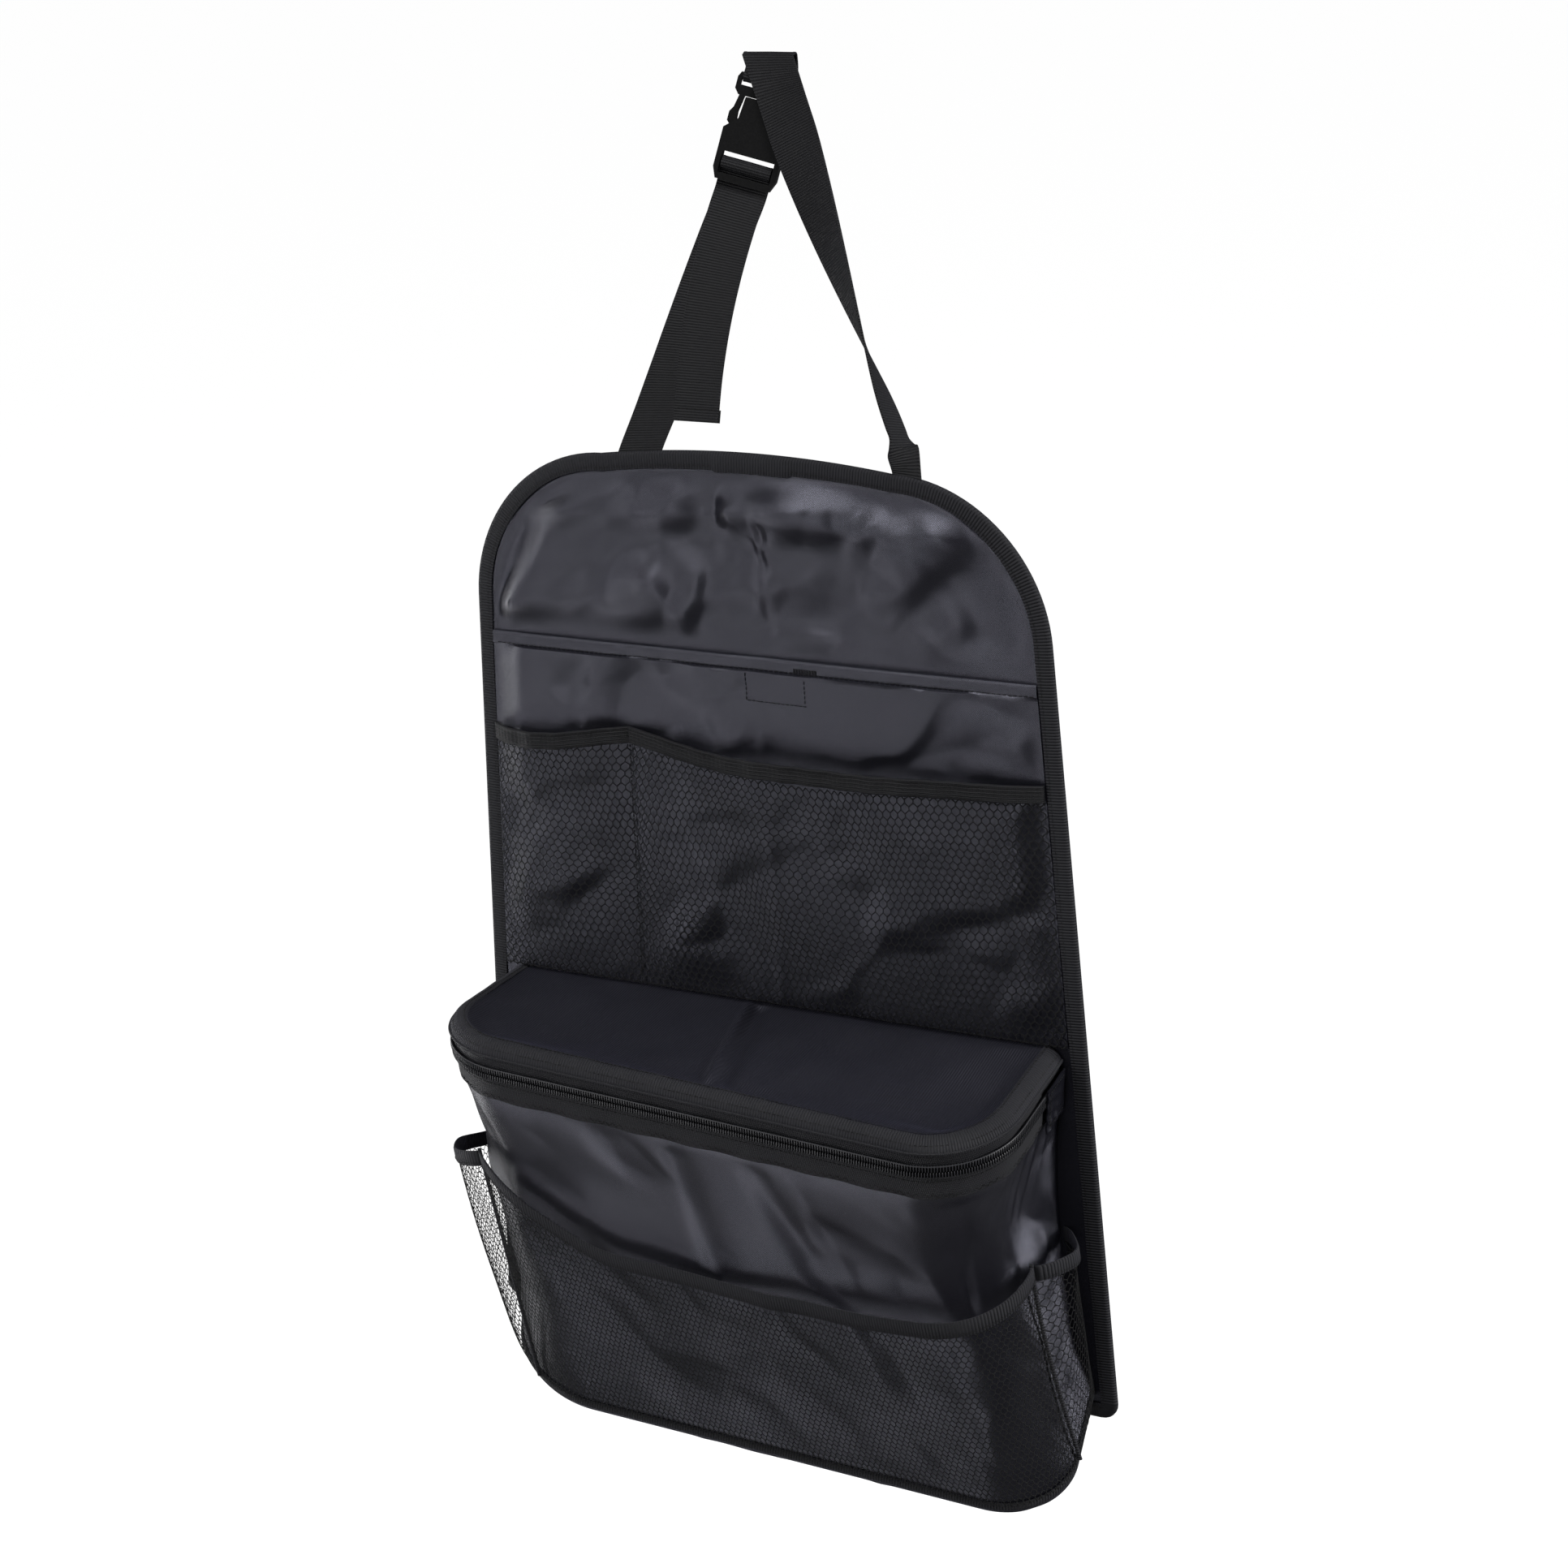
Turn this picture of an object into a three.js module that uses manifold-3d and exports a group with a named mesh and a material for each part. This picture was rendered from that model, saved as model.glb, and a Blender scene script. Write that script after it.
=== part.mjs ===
// Car seat back organizer: a bound cloth panel with a slip pocket, a net pocket
// and a zipped bag, hung from a webbing loop with a side-release buckle.
// Millimetres. X runs across the panel, -Y is the front, +Z is up.
// The origin is the middle of the panel's flat back.

import * as THREE from "three";
import ManifoldModule from "manifold-3d";

const { Vector3, ShapeUtils } = THREE;
const manifold = await ManifoldModule();
manifold.setup();

// Gaps between pieces that touch on the real object.
const CLEARANCE = 0.3;
const SEAM_GAP = 1.2;

// Back panel and its edge binding.
const PANEL_HEIGHT = 560;
const PANEL_HALF_WIDTH = 194;
const PANEL_FLARE = 0.055;
const PANEL_THICKNESS = 4;
const PANEL_RIM_STEP = 0.5;
const TOP_CORNER_RADIUS = 90;
const TOP_CROWN = 6;
const BINDING_WIDTH = 12;
const BINDING_THICKNESS = 1.2;
const PACKING_FOLD = 1.2;

// Slip pocket.
const SLIP_TOP_BELOW_PANEL_TOP = 117;
const SLIP_THICKNESS = 1;
const SLIP_HEM_HEIGHT = 6;
const SLIP_HEM_EXTRA = 0.8;

// Upper net pocket.
const UPPER_RIM_BELOW_PANEL_TOP = 174;
const UPPER_RIM_LIFT = 7;
const UPPER_NET_THICKNESS = 0.9;
const UPPER_NET_BULGE = 17;
const DIVIDER_X = -88;
const ELASTIC_HEIGHT = 10;
const ELASTIC_THICKNESS = 2;
const ELASTIC_RIB = 0.6;
const ELASTIC_RIBS = 4;

// Zipped bag: the box it was sewn as, and how its front hangs.
const LID_BELOW_PANEL_TOP = 330;
const BAG_HEIGHT = 214;
const BAG_DEPTH = 108;
const BAG_HALF_WIDTH = 183;
const BAG_CORNER_RADIUS = 52;
const BAG_BOTTOM_FLARE = 12;
const TOP_SAG_LEFT = 0;
const TOP_SAG_RIGHT = 20;
const BOTTOM_SAG_LEFT = 26;
const BOTTOM_SAG_RIGHT = 46;
const BOTTOM_TUCK_LEFT = 22;
const BOTTOM_TUCK_RIGHT = 36;
const BOTTOM_SWING = 30;
const BOTTOM_NARROW = 7;
const RIGHT_CAVE = 12;
const LID_THICKNESS = 2;
const LID_BAND_WIDTH = 12;
const LID_BAND_LIP = 9;
const LID_BAND_DROP = 7;
const LID_BAND_THICKNESS = 1.4;
const LID_DISH = 3;
const WALL_THICKNESS = 1.6;
const WALL_FOLD = 4;
const BOTTOM_THICKNESS = 2;

// Zip round the lid.
const UPPER_TAPE_HEIGHT = 3.2;
const LOWER_TAPE_HEIGHT = 12;
const TAPE_THICKNESS = 0.8;
const COIL_HEIGHT = 2.7;
const COIL_THICKNESS = 2.4;
const ZIP_GAP = 1.4;
const WALL_UNDER_TAPE = 9;
const SLIDER_LENGTH = 9;
const SLIDER_Y = -46;
const SLIDER_WING = 1;
const SLIDER_PLATE = 1;
const HOOP_SPAN = 4.8;
const HOOP_WIRE = 0.8;
const HOOP_RISE = 3.4;
const PULL_LENGTH = 24;
const PULL_WIDTH = 6.4;
const PULL_THICKNESS = 1.2;
const PULL_EYE = 1.6;
const TAB_WIDTH = 22;
const TAB_HEIGHT = 24;
const TAB_THICKNESS = 1.2;

// Net pockets on the bag.
const NET_THICKNESS = 0.9;
const NET_RIM_HEIGHT = 9;
const NET_RIM_THICKNESS = 1.6;
const NET_SEAM = 1;
const FRONT_RIM_END = 80;
const FRONT_RIM_SAG = 40;
const FRONT_NET_BULGE = 8;
const SIDE_RIM_SLOPE = 30;
const LEFT_GAPE = 18;
const RIGHT_GAPE = 16;
const NET_STRAND = 3;
const NET_BORDER = 5;
const UPPER_TILES = { columns: 13, rows: 5 };
const FRONT_TILES = { columns: 12, rows: 4 };
const SIDE_TILES = { columns: 4, rows: 4 };

// Webbing strap and its buckle.
const WEB_WIDTH = 29;
const WEB_THICKNESS = 1.3;
const APEX_HEIGHT = 488;
const APEX_BACK = 55;
const FOLD_RADIUS = 2.2;
const LONG_ROOT_X = 101;
const SHORT_ROOT_X = -66;
const ROOT_Y = -2.5;
const ROOT_TWIST_LENGTH = 12;
const TWIST_START = 45;
const TWIST_PER_MM = 0.6;
const LONG_BOW = 4;
const TAIL_END_X = -29;
const TAIL_END_HEIGHT = 294;
const TAIL_FORWARD = 6;
const BUCKLE_SETBACK = 9;
const BUCKLE_WIDTH = 36;
const BUCKLE_THICKNESS = 7.6;
const BUCKLE_TOP = 11;
const BUCKLE_TILT = 13;
const BUCKLE_TURN = 20;
const MALE_PLATE = 12.5;
const MALE_BAR = 3;
const MALE_SLOT = 4;
const MALE_SLOT_WIDTH = 30;
const PRONG_LENGTH = 18;
const PRONG_WIDTH = 4.4;
const SHELL_NECK_WIDTH = 20;
const SHELL_NECK = 17;
const SHELL_BODY = 14;
const LADDER_SLOT = 4.6;
const LADDER_BAR = 3;
const LADDER_END_BAR = 3.4;
const LADDER_SLOT_WIDTH = 30;

const PALETTE = {
  shell_cloth: [0x34343c, 0.62],
  lining_cloth: [0x2b2b32, 0.7],
  binding: [0x1d1d20, 0.85],
  webbing: [0x18181b, 0.8],
  net: [0x17171a, 0.85],
  elastic: [0x1a1a1d, 0.85],
  zip: [0x1b1b1e, 0.6],
  metal: [0x2c2c30, 0.4],
  plastic: [0x111113, 0.4],
};

const lerp = (a, b, t) => a + (b - a) * t;
const clamp = (v, lo, hi) => Math.min(hi, Math.max(lo, v));
const smooth = (t) => {
  const c = clamp(t, 0, 1);
  return c * c * (3 - 2 * c);
};
const radians = THREE.MathUtils.degToRad;
const range = (count) => Array.from({ length: count }, (_, i) => i);

// A closed triangle mesh put together from grids, strips and caps.
class Solid {
  constructor() {
    this.points = [];
    this.lookup = new Map();
    this.faces = [];
  }

  id(p) {
    const key = [p.x, p.y, p.z].map((v) => Math.round(v * 1e4)).join();
    if (!this.lookup.has(key)) {
      this.lookup.set(key, this.points.length);
      this.points.push(p);
    }
    return this.lookup.get(key);
  }

  face(a, b, c) {
    const [i, j, k] = [this.id(a), this.id(b), this.id(c)];
    if (i !== j && j !== k && k !== i) {
      this.faces.push(i, j, k);
    }
  }

  quad(a, b, c, d) {
    this.face(a, b, c);
    this.face(a, c, d);
  }

  strip(first, second, closed) {
    const count = first.length;
    for (let i = 0; i < (closed ? count : count - 1); i += 1) {
      const j = (i + 1) % count;
      this.quad(first[i], first[j], second[j], second[i]);
    }
  }

  cap(loop, flat, flip) {
    for (const [a, b, c] of ShapeUtils.triangulateShape(flat, [])) {
      if (flip) {
        this.face(loop[a], loop[c], loop[b]);
      } else {
        this.face(loop[a], loop[b], loop[c]);
      }
    }
  }

  geometry() {
    const flat = this.points.flatMap((p) => [p.x, p.y, p.z]);
    const faces = this.faces.slice();
    if (signedVolume(flat, faces) < 0) {
      for (let i = 0; i < faces.length; i += 3) {
        [faces[i + 1], faces[i + 2]] = [faces[i + 2], faces[i + 1]];
      }
    }
    const geometry = new THREE.BufferGeometry();
    geometry.setAttribute("position", new THREE.Float32BufferAttribute(flat, 3));
    geometry.setIndex(faces);
    return geometry;
  }
}

function signedVolume(flat, faces) {
  const at = (i) => new Vector3(flat[3 * i], flat[3 * i + 1], flat[3 * i + 2]);
  let total = 0;
  for (let i = 0; i < faces.length; i += 3) {
    const [a, b, c] = [at(faces[i]), at(faces[i + 1]), at(faces[i + 2])];
    total += a.dot(b.cross(c));
  }
  return total;
}

// Two facing grids, outer(i, j) and inner(i, j), closed along their four edges.
function sheet(columns, rows, outer, inner) {
  const solid = new Solid();
  const grid = (side) => range(rows + 1).map((j) => range(columns + 1).map((i) => side(i, j)));
  const [front, back] = [grid(outer), grid(inner)];
  for (let j = 0; j < rows; j += 1) {
    for (let i = 0; i < columns; i += 1) {
      solid.quad(front[j][i], front[j][i + 1], front[j + 1][i + 1], front[j + 1][i]);
      solid.quad(back[j][i], back[j + 1][i], back[j + 1][i + 1], back[j][i + 1]);
    }
  }
  solid.strip(rim(back, columns, rows), rim(front, columns, rows), true);
  return solid.geometry();
}

function rim(grid, columns, rows) {
  return [
    ...grid[0].slice(0, columns),
    ...grid.slice(0, rows).map((row) => row[columns]),
    ...grid[rows].slice(1).reverse(),
    ...grid.slice(1).map((row) => row[0]).reverse(),
  ];
}

// A closed profile of [a, b] pairs carried along stations by place(k, a, b).
function sweep(profile, stations, place, closed = false) {
  const solid = new Solid();
  const rings = range(stations).map((k) => profile.map(([a, b]) => place(k, a, b)));
  for (let k = 0; k < (closed ? stations : stations - 1); k += 1) {
    solid.strip(rings[k], rings[(k + 1) % stations], true);
  }
  if (!closed) {
    const flat = profile.map(([a, b]) => new THREE.Vector2(a, b));
    const turned = ShapeUtils.area(flat) < 0;
    solid.cap(rings[0], flat, !turned);
    solid.cap(rings[stations - 1], flat, turned);
  }
  return solid.geometry();
}

// A wall with diamond gaps. Its tiles have one gap in the middle and a quarter
// of one at each inner corner; place(s, t, layer) bends the unit square.
function netting({ width, height, columns, rows, border }, place) {
  const solid = new Solid();
  const lines = (count, size) => {
    const edge = border / size;
    return [0, ...range(count + 1).map((i) => lerp(edge, 1 - edge, i / count)), 1];
  };
  const [across, up] = [lines(columns, width), lines(rows, height)];
  const half = (places, size) => 0.5 - (0.7 * NET_STRAND) / (size * (places[2] - places[1]));
  const reach = [half(across, width), half(up, height)];
  for (let j = 0; j <= rows + 1; j += 1) {
    for (let i = 0; i <= columns + 1; i += 1) {
      const spot = (a, b, layer) => {
        return place(lerp(across[i], across[i + 1], a), lerp(up[j], up[j + 1], b), layer);
      };
      const open = i > 0 && i <= columns && j > 0 && j <= rows;
      const inner = (di, dj) => i + di > 1 && i + di <= columns && j + dj > 1 && j + dj <= rows;
      netTile(solid, spot, reach, open, inner);
      edgeWalls(solid, spot, [i === 0, i === columns + 1, j === 0, j === rows + 1]);
    }
  }
  return solid.geometry();
}

// One tile: its flat faces front and back, and the walls round its gaps.
function netTile(solid, spot, [rx, ry], open, inner) {
  if (!open) {
    const ring = [[0, 0], [1, 0], [1, 1], [0, 1]];
    solid.quad(...ring.map(([a, b]) => spot(a, b, 1)));
    solid.quad(...ring.reverse().map(([a, b]) => spot(a, b, 0)));
    return;
  }
  const middle = [[0.5 + rx, 0.5], [0.5, 0.5 + ry], [0.5 - rx, 0.5], [0.5, 0.5 - ry]];
  const turns = [
    { corner: [1, 1], from: [1, 1 - ry], to: [1 - rx, 1], cutAt: inner(1, 1) },
    { corner: [0, 1], from: [rx, 1], to: [0, 1 - ry], cutAt: inner(0, 1) },
    { corner: [0, 0], from: [0, ry], to: [rx, 0], cutAt: inner(0, 0) },
    { corner: [1, 0], from: [1 - rx, 0], to: [1, ry], cutAt: inner(1, 0) },
  ];
  turns.forEach(({ corner, from, to, cutAt }, k) => {
    const [here, next] = [middle[k], middle[(k + 1) % 4]];
    const [start, end] = cutAt ? [from, to] : [corner, corner];
    const before = turns[(k + 3) % 4];
    const last = before.cutAt ? before.to : before.corner;
    twoFaces(solid, spot, here, last, start);
    twoFaces(solid, spot, here, start, next);
    wallBetween(solid, spot, here, next);
    if (cutAt) {
      twoFaces(solid, spot, next, start, end);
      wallBetween(solid, spot, end, start);
    }
  });
}

function twoFaces(solid, spot, a, b, c) {
  solid.face(spot(...a, 1), spot(...b, 1), spot(...c, 1));
  solid.face(spot(...a, 0), spot(...c, 0), spot(...b, 0));
}

function wallBetween(solid, spot, a, b) {
  solid.quad(spot(...a, 1), spot(...b, 1), spot(...b, 0), spot(...a, 0));
}

function edgeWalls(solid, spot, [left, right, bottom, top]) {
  const edges = [
    [left, [0, 0], [0, 1]], [right, [1, 1], [1, 0]], [bottom, [1, 0], [0, 0]], [top, [0, 1], [1, 1]],
  ];
  edges.filter(([on]) => on).forEach(([, a, b]) => wallBetween(solid, spot, a, b));
}

// Conversions used for the rigid parts that are joined or cut.
function toManifold(geometry) {
  const solid = new Solid();
  const source = (geometry.index ? geometry.toNonIndexed() : geometry).getAttribute("position");
  const at = (i) => new Vector3().fromBufferAttribute(source, i);
  for (let i = 0; i < source.count; i += 3) {
    solid.face(at(i), at(i + 1), at(i + 2));
  }
  const merged = solid.geometry();
  return new manifold.Manifold(new manifold.Mesh({
    numProp: 3,
    vertProperties: new Float32Array(merged.getAttribute("position").array),
    triVerts: new Uint32Array(merged.index.array),
  }));
}

function fromManifold(body) {
  const mesh = body.getMesh();
  const geometry = new THREE.BufferGeometry();
  geometry.setAttribute("position", new THREE.Float32BufferAttribute(mesh.vertProperties, 3));
  geometry.setIndex(Array.from(mesh.triVerts));
  return geometry;
}

function joined(geometries) {
  return geometries.map(toManifold).reduce((sum, next) => sum.add(next));
}

function cut(body, geometries) {
  return geometries.map(toManifold).reduce((rest, next) => rest.subtract(next), body);
}

function block(width, height, depth, x, y, z) {
  return new THREE.BoxGeometry(width, height, depth).translate(x, y, z);
}

function prism(points, depth, z) {
  const shape = new THREE.Shape(points.map(([a, b]) => new THREE.Vector2(a, b)));
  return new THREE.ExtrudeGeometry(shape, { depth, bevelEnabled: false }).translate(0, 0, z);
}

// Places on the panel.
const panelTop = PANEL_HEIGHT / 2;
const innerTop = panelTop - BINDING_WIDTH - TOP_CROWN;
const innerBottom = -PANEL_HEIGHT / 2 + BINDING_WIDTH;
const innerRadius = TOP_CORNER_RADIUS - BINDING_WIDTH;
const panelFront = -PANEL_THICKNESS;
const rimFront = -(PANEL_THICKNESS - PANEL_RIM_STEP);
const rimBack = -(BINDING_THICKNESS + CLEARANCE);
const bindingFront = rimFront - CLEARANCE - BINDING_THICKNESS;
const innerHalf = (z) => PANEL_HALF_WIDTH - PANEL_FLARE * z - BINDING_WIDTH;
const cornerHalf = innerHalf(innerTop - innerRadius);
const cornerStart = cornerHalf - innerRadius;

function innerTopAt(x) {
  const past = Math.abs(x) - cornerStart;
  if (past <= 0) {
    return innerTop + TOP_CROWN * (1 - (x / cornerStart) ** 2);
  }
  return innerTop - innerRadius + Math.sqrt(Math.max(0, innerRadius ** 2 - past ** 2));
}

// The crease left by folding the organizer down its middle for packing.
const packingFold = (x) => PACKING_FOLD * Math.exp(-Math.abs(x) / 5);

// A soft ridge along a line from one point to another on the panel.
function ridge(x, z, [x0, z0], [x1, z1], height, spread) {
  const [dx, dz] = [x1 - x0, z1 - z0];
  const t = clamp(((x - x0) * dx + (z - z0) * dz) / (dx * dx + dz * dz), 0, 1);
  const off = Math.hypot(x - x0 - t * dx, z - z0 - t * dz);
  return height * Math.exp(-((off / spread) ** 2));
}

function panelDents(x, z) {
  const fade = smooth((innerTopAt(clamp(x, -cornerHalf, cornerHalf)) - z) / 20)
    * smooth((innerHalf(z) - Math.abs(x)) / 16);
  const dents = ridge(x, z, [-18, 240], [4, 212], 3.5, 9)
    + ridge(x, z, [4, 212], [68, 229], 3.5, 9)
    + ridge(x, z, [-140, 238], [-18, 240], 1.2, 7)
    - ridge(x, z, [14, 250], [56, 246], 1.8, 14)
    + ridge(x, z, [-22, 236], [-20, 176], 1, 7);
  return fade * (Math.max(dents, -2) + packingFold(x)) * smooth((z - slipTop - 4) / 26);
}

const slipTop = panelTop - SLIP_TOP_BELOW_PANEL_TOP;
const lidZ = panelTop - LID_BELOW_PANEL_TOP;
const pocketBottom = lidZ + SEAM_GAP;
const bagBack = panelFront - CLEARANCE;

const PANEL_ROWS = 20;
const panelColumns = panelColumnPlaces();

function panelColumnPlaces() {
  const arc = range(6).map((i) => cornerStart + innerRadius * Math.cos((Math.PI / 2) * (i / 6)));
  const flat = range(9).map((i) => lerp(-cornerStart, cornerStart, i / 8));
  return [...arc.map((x) => -x), ...flat, ...arc.slice().reverse()];
}

function panelPoint(i, j) {
  const nominal = panelColumns[i];
  const z = lerp(innerBottom, innerTopAt(nominal), j / PANEL_ROWS);
  return new Vector3((nominal / cornerHalf) * innerHalf(z), 0, z);
}

// The plateau's edge as points with outward directions, once round.
function panelLoop() {
  const last = panelColumns.length - 1;
  const bottom = range(last + 1).map((i) => panelPoint(i, 0));
  const right = range(PANEL_ROWS).slice(1).map((j) => panelPoint(last, j));
  const top = range(last + 1).reverse().map((i) => panelPoint(i, PANEL_ROWS));
  const left = range(PANEL_ROWS).slice(1).reverse().map((j) => panelPoint(0, j));
  const loop = [...bottom, ...right, ...top, ...left];
  const stations = loop.map((p, k) => {
    const before = loop[(k + loop.length - 1) % loop.length];
    const after = loop[(k + 1) % loop.length];
    const along = after.clone().sub(before).normalize();
    return { p, out: new Vector3(along.z, 0, -along.x) };
  });
  const corner = (p, from) => range(4).map((k) => {
    const angle = radians(from + 30 * k);
    return { p, out: new Vector3(Math.cos(angle), 0, Math.sin(angle)) };
  });
  return [
    ...corner(bottom[0], 180),
    ...stations.slice(1, last),
    ...corner(bottom[last], 270),
    ...stations.slice(last + 1),
  ];
}

function backPanel() {
  const solid = new Solid();
  const loop = panelLoop();
  const ring = (out, y) => loop.map((s) => s.p.clone().addScaledVector(s.out, out).setY(y));
  const front = (i, j) => {
    const p = panelPoint(i, j);
    return p.setY(panelFront - panelDents(p.x, p.z));
  };
  const last = panelColumns.length - 1;
  for (let j = 0; j < PANEL_ROWS; j += 1) {
    for (let i = 0; i < last; i += 1) {
      solid.quad(front(i, j), front(i + 1, j), front(i + 1, j + 1), front(i, j + 1));
    }
  }
  const edge = loop.map((s) => s.p.clone().setY(panelFront - panelDents(s.p.x, s.p.z)));
  const reach = BINDING_WIDTH - BINDING_THICKNESS - CLEARANCE;
  const rings = [
    edge, ring(0, rimFront), ring(reach, rimFront), ring(reach, rimBack), ring(0, rimBack), ring(0, 0),
  ];
  rings.slice(1).forEach((next, k) => solid.strip(next, rings[k], true));
  const back = rings[rings.length - 1].filter((p, k, all) => k === 0 || p.distanceTo(all[k - 1]) > 1e-6);
  solid.cap(back, back.map((p) => new THREE.Vector2(p.x, p.z)), true);
  return solid.geometry();
}

function panelBinding() {
  const loop = panelLoop();
  const [inner, outer] = [CLEARANCE, BINDING_WIDTH];
  const nose = BINDING_THICKNESS;
  const profile = [
    [inner, 0], [inner, -nose], [outer - nose, -nose], [outer - nose, bindingFront + nose],
    [inner, bindingFront + nose], [inner, bindingFront], [outer - nose / 2, bindingFront],
    [outer, bindingFront + nose], [outer, -nose], [outer - nose / 2, 0],
  ];
  return sweep(profile, loop.length, (k, out, y) => {
    return loop[k].p.clone().addScaledVector(loop[k].out, out).setY(y);
  }, true);
}

function slipPocket() {
  const hemBottom = slipTop - SLIP_HEM_HEIGHT;
  const plain = range(5).map((i) => lerp(pocketBottom, hemBottom - 6, i / 4));
  const levels = [...plain, hemBottom, hemBottom + 0.5, slipTop];
  const columns = 20;
  const place = (i, j, out) => {
    const z = levels[j];
    const hem = j >= 6 ? SLIP_HEM_EXTRA : 0;
    const x = lerp(-1, 1, i / columns) * (innerHalf(z) - CLEARANCE);
    const lift = out > 0 ? SLIP_THICKNESS + hem : 0;
    return new Vector3(x, panelFront - CLEARANCE - lift, z);
  };
  return sheet(columns, levels.length - 1, (i, j) => place(i, j, 1), (i, j) => place(i, j, 0));
}

// Upper net pocket, held at both sides, at the divider and along the bottom.
const upperSide = (z) => innerHalf(z) - 1;
const upperSpan = 2 * upperSide(0);
const upperRimTop = panelTop - UPPER_RIM_BELOW_PANEL_TOP;
const upperNetBack = panelFront - SLIP_THICKNESS - 2 * CLEARANCE;
const upperLift = (x) => UPPER_RIM_LIFT * Math.exp(-(((x - DIVIDER_X) / 42) ** 2));
const upperNetTop = (x) => upperRimTop + upperLift(x) - ELASTIC_HEIGHT - SEAM_GAP / 2;

function upperBulge(x, z) {
  const [low, high] = x < DIVIDER_X ? [-upperSpan / 2, DIVIDER_X] : [DIVIDER_X, upperSpan / 2];
  const across = Math.sin(Math.PI * clamp((x - low) / (high - low), 0, 1)) ** 0.8;
  const room = x < DIVIDER_X ? 0.8 : 1;
  const up = clamp((z - pocketBottom) / (upperNetTop(x) - pocketBottom), 0, 1);
  const pleat = 3.5 * Math.exp(-(((x - 10) / 9) ** 2)) * Math.sin(Math.PI * up);
  return (UPPER_NET_BULGE * room * across + pleat) * up ** 0.55;
}

function upperNetPoint(u, z, out) {
  const flat = u - upperSpan / 2;
  const x = (flat / (upperSpan / 2)) * upperSide(z);
  return new Vector3(x, upperNetBack - upperBulge(flat, z) - out, z);
}

function upperNet() {
  const height = upperNetTop(0) - pocketBottom;
  const size = { width: upperSpan, height, border: NET_BORDER, ...UPPER_TILES };
  return netting(size, (s, t, layer) => {
    const u = s * upperSpan;
    const z = lerp(pocketBottom, upperNetTop(u - upperSpan / 2), t);
    return upperNetPoint(u, z, layer * UPPER_NET_THICKNESS);
  });
}

function upperNetElastic() {
  const stations = 41;
  const ribs = range(ELASTIC_RIBS).flatMap((k) => {
    const step = ELASTIC_HEIGHT / ELASTIC_RIBS;
    return [[ELASTIC_THICKNESS - ELASTIC_RIB, k * step], [ELASTIC_THICKNESS, (k + 0.5) * step]];
  });
  const profile = [[0, 0], ...ribs, [ELASTIC_THICKNESS - ELASTIC_RIB, ELASTIC_HEIGHT], [0, ELASTIC_HEIGHT]];
  return sweep(profile, stations, (k, out, up) => {
    const u = (upperSpan * k) / (stations - 1);
    const base = upperNetTop(u - upperSpan / 2) + SEAM_GAP / 2;
    return upperNetPoint(u, base, out).setZ(base + up);
  });
}

// The bag's box, bent to the way it hangs: u across -1 to 1, d from the panel
// to the front 0 to 1, h millimetres below the lid.
function bagPoint(u, d, h) {
  const w = h / BAG_HEIGHT;
  const side = (u + 1) / 2;
  const topSag = lerp(TOP_SAG_LEFT, TOP_SAG_RIGHT, side);
  const bottomSag = lerp(BOTTOM_SAG_LEFT, BOTTOM_SAG_RIGHT, side);
  const tuck = lerp(BOTTOM_TUCK_LEFT, BOTTOM_TUCK_RIGHT, side);
  const half = BAG_HALF_WIDTH + BAG_BOTTOM_FLARE * w * (1 - d) - BOTTOM_NARROW * w * d;
  const cave = RIGHT_CAVE * side ** 3 * Math.sin(Math.PI * w);
  const x = u * half + BOTTOM_SWING * w * d - cave;
  const y = bagBack - d * (BAG_DEPTH - tuck * w);
  return new Vector3(x, y, lidZ - h - d * lerp(topSag, bottomSag, w));
}

// The bag's outline as stations of [u, d] from the left back round to the right back.
const SIDE_STEPS = 4;
const ARC_STEPS = 6;
const FRONT_STEPS = 14;
const bagOutline = outlineStations(0);

function outlineStations(inset) {
  const radius = BAG_CORNER_RADIUS - inset;
  const [ru, rd] = [radius / BAG_HALF_WIDTH, radius / BAG_DEPTH];
  const [edgeU, edgeD] = [1 - inset / BAG_HALF_WIDTH, 1 - inset / BAG_DEPTH];
  const sideRun = range(SIDE_STEPS).map((i) => [-edgeU, ((edgeD - rd) * i) / SIDE_STEPS]);
  const arc = range(ARC_STEPS).map((i) => {
    const a = (Math.PI / 2) * (i / ARC_STEPS);
    return [-edgeU + ru * (1 - Math.cos(a)), edgeD - rd + rd * Math.sin(a)];
  });
  const half = [...sideRun, ...arc];
  const front = range(FRONT_STEPS + 1).map((i) => [lerp(-edgeU + ru, edgeU - ru, i / FRONT_STEPS), edgeD]);
  return [...half, ...front, ...half.map(([u, d]) => [-u, d]).reverse()];
}

const LAST = bagOutline.length - 1;

function outlineAt(k) {
  const i = clamp(Math.floor(k), 0, LAST - 1);
  const [a, b] = [bagOutline[i], bagOutline[i + 1]];
  return [lerp(a[0], b[0], k - i), lerp(a[1], b[1], k - i)];
}

// A point on the bag's outline, h below the lid and out from its skin.
function wallPoint(k, h, out) {
  const reach = 0.35;
  const [u, d] = outlineAt(k);
  const here = bagPoint(u, d, h);
  const before = bagPoint(...outlineAt(Math.max(0, k - reach)), h);
  const after = bagPoint(...outlineAt(Math.min(LAST, k + reach)), h);
  const along = after.sub(before).setZ(0).normalize();
  here.addScaledVector(new Vector3(along.y, -along.x, 0), out);
  const onBinding = Math.abs(here.x) > innerHalf(here.z) - 8;
  here.y = Math.min(here.y, onBinding ? bindingFront - CLEARANCE : bagBack);
  return here;
}

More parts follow.
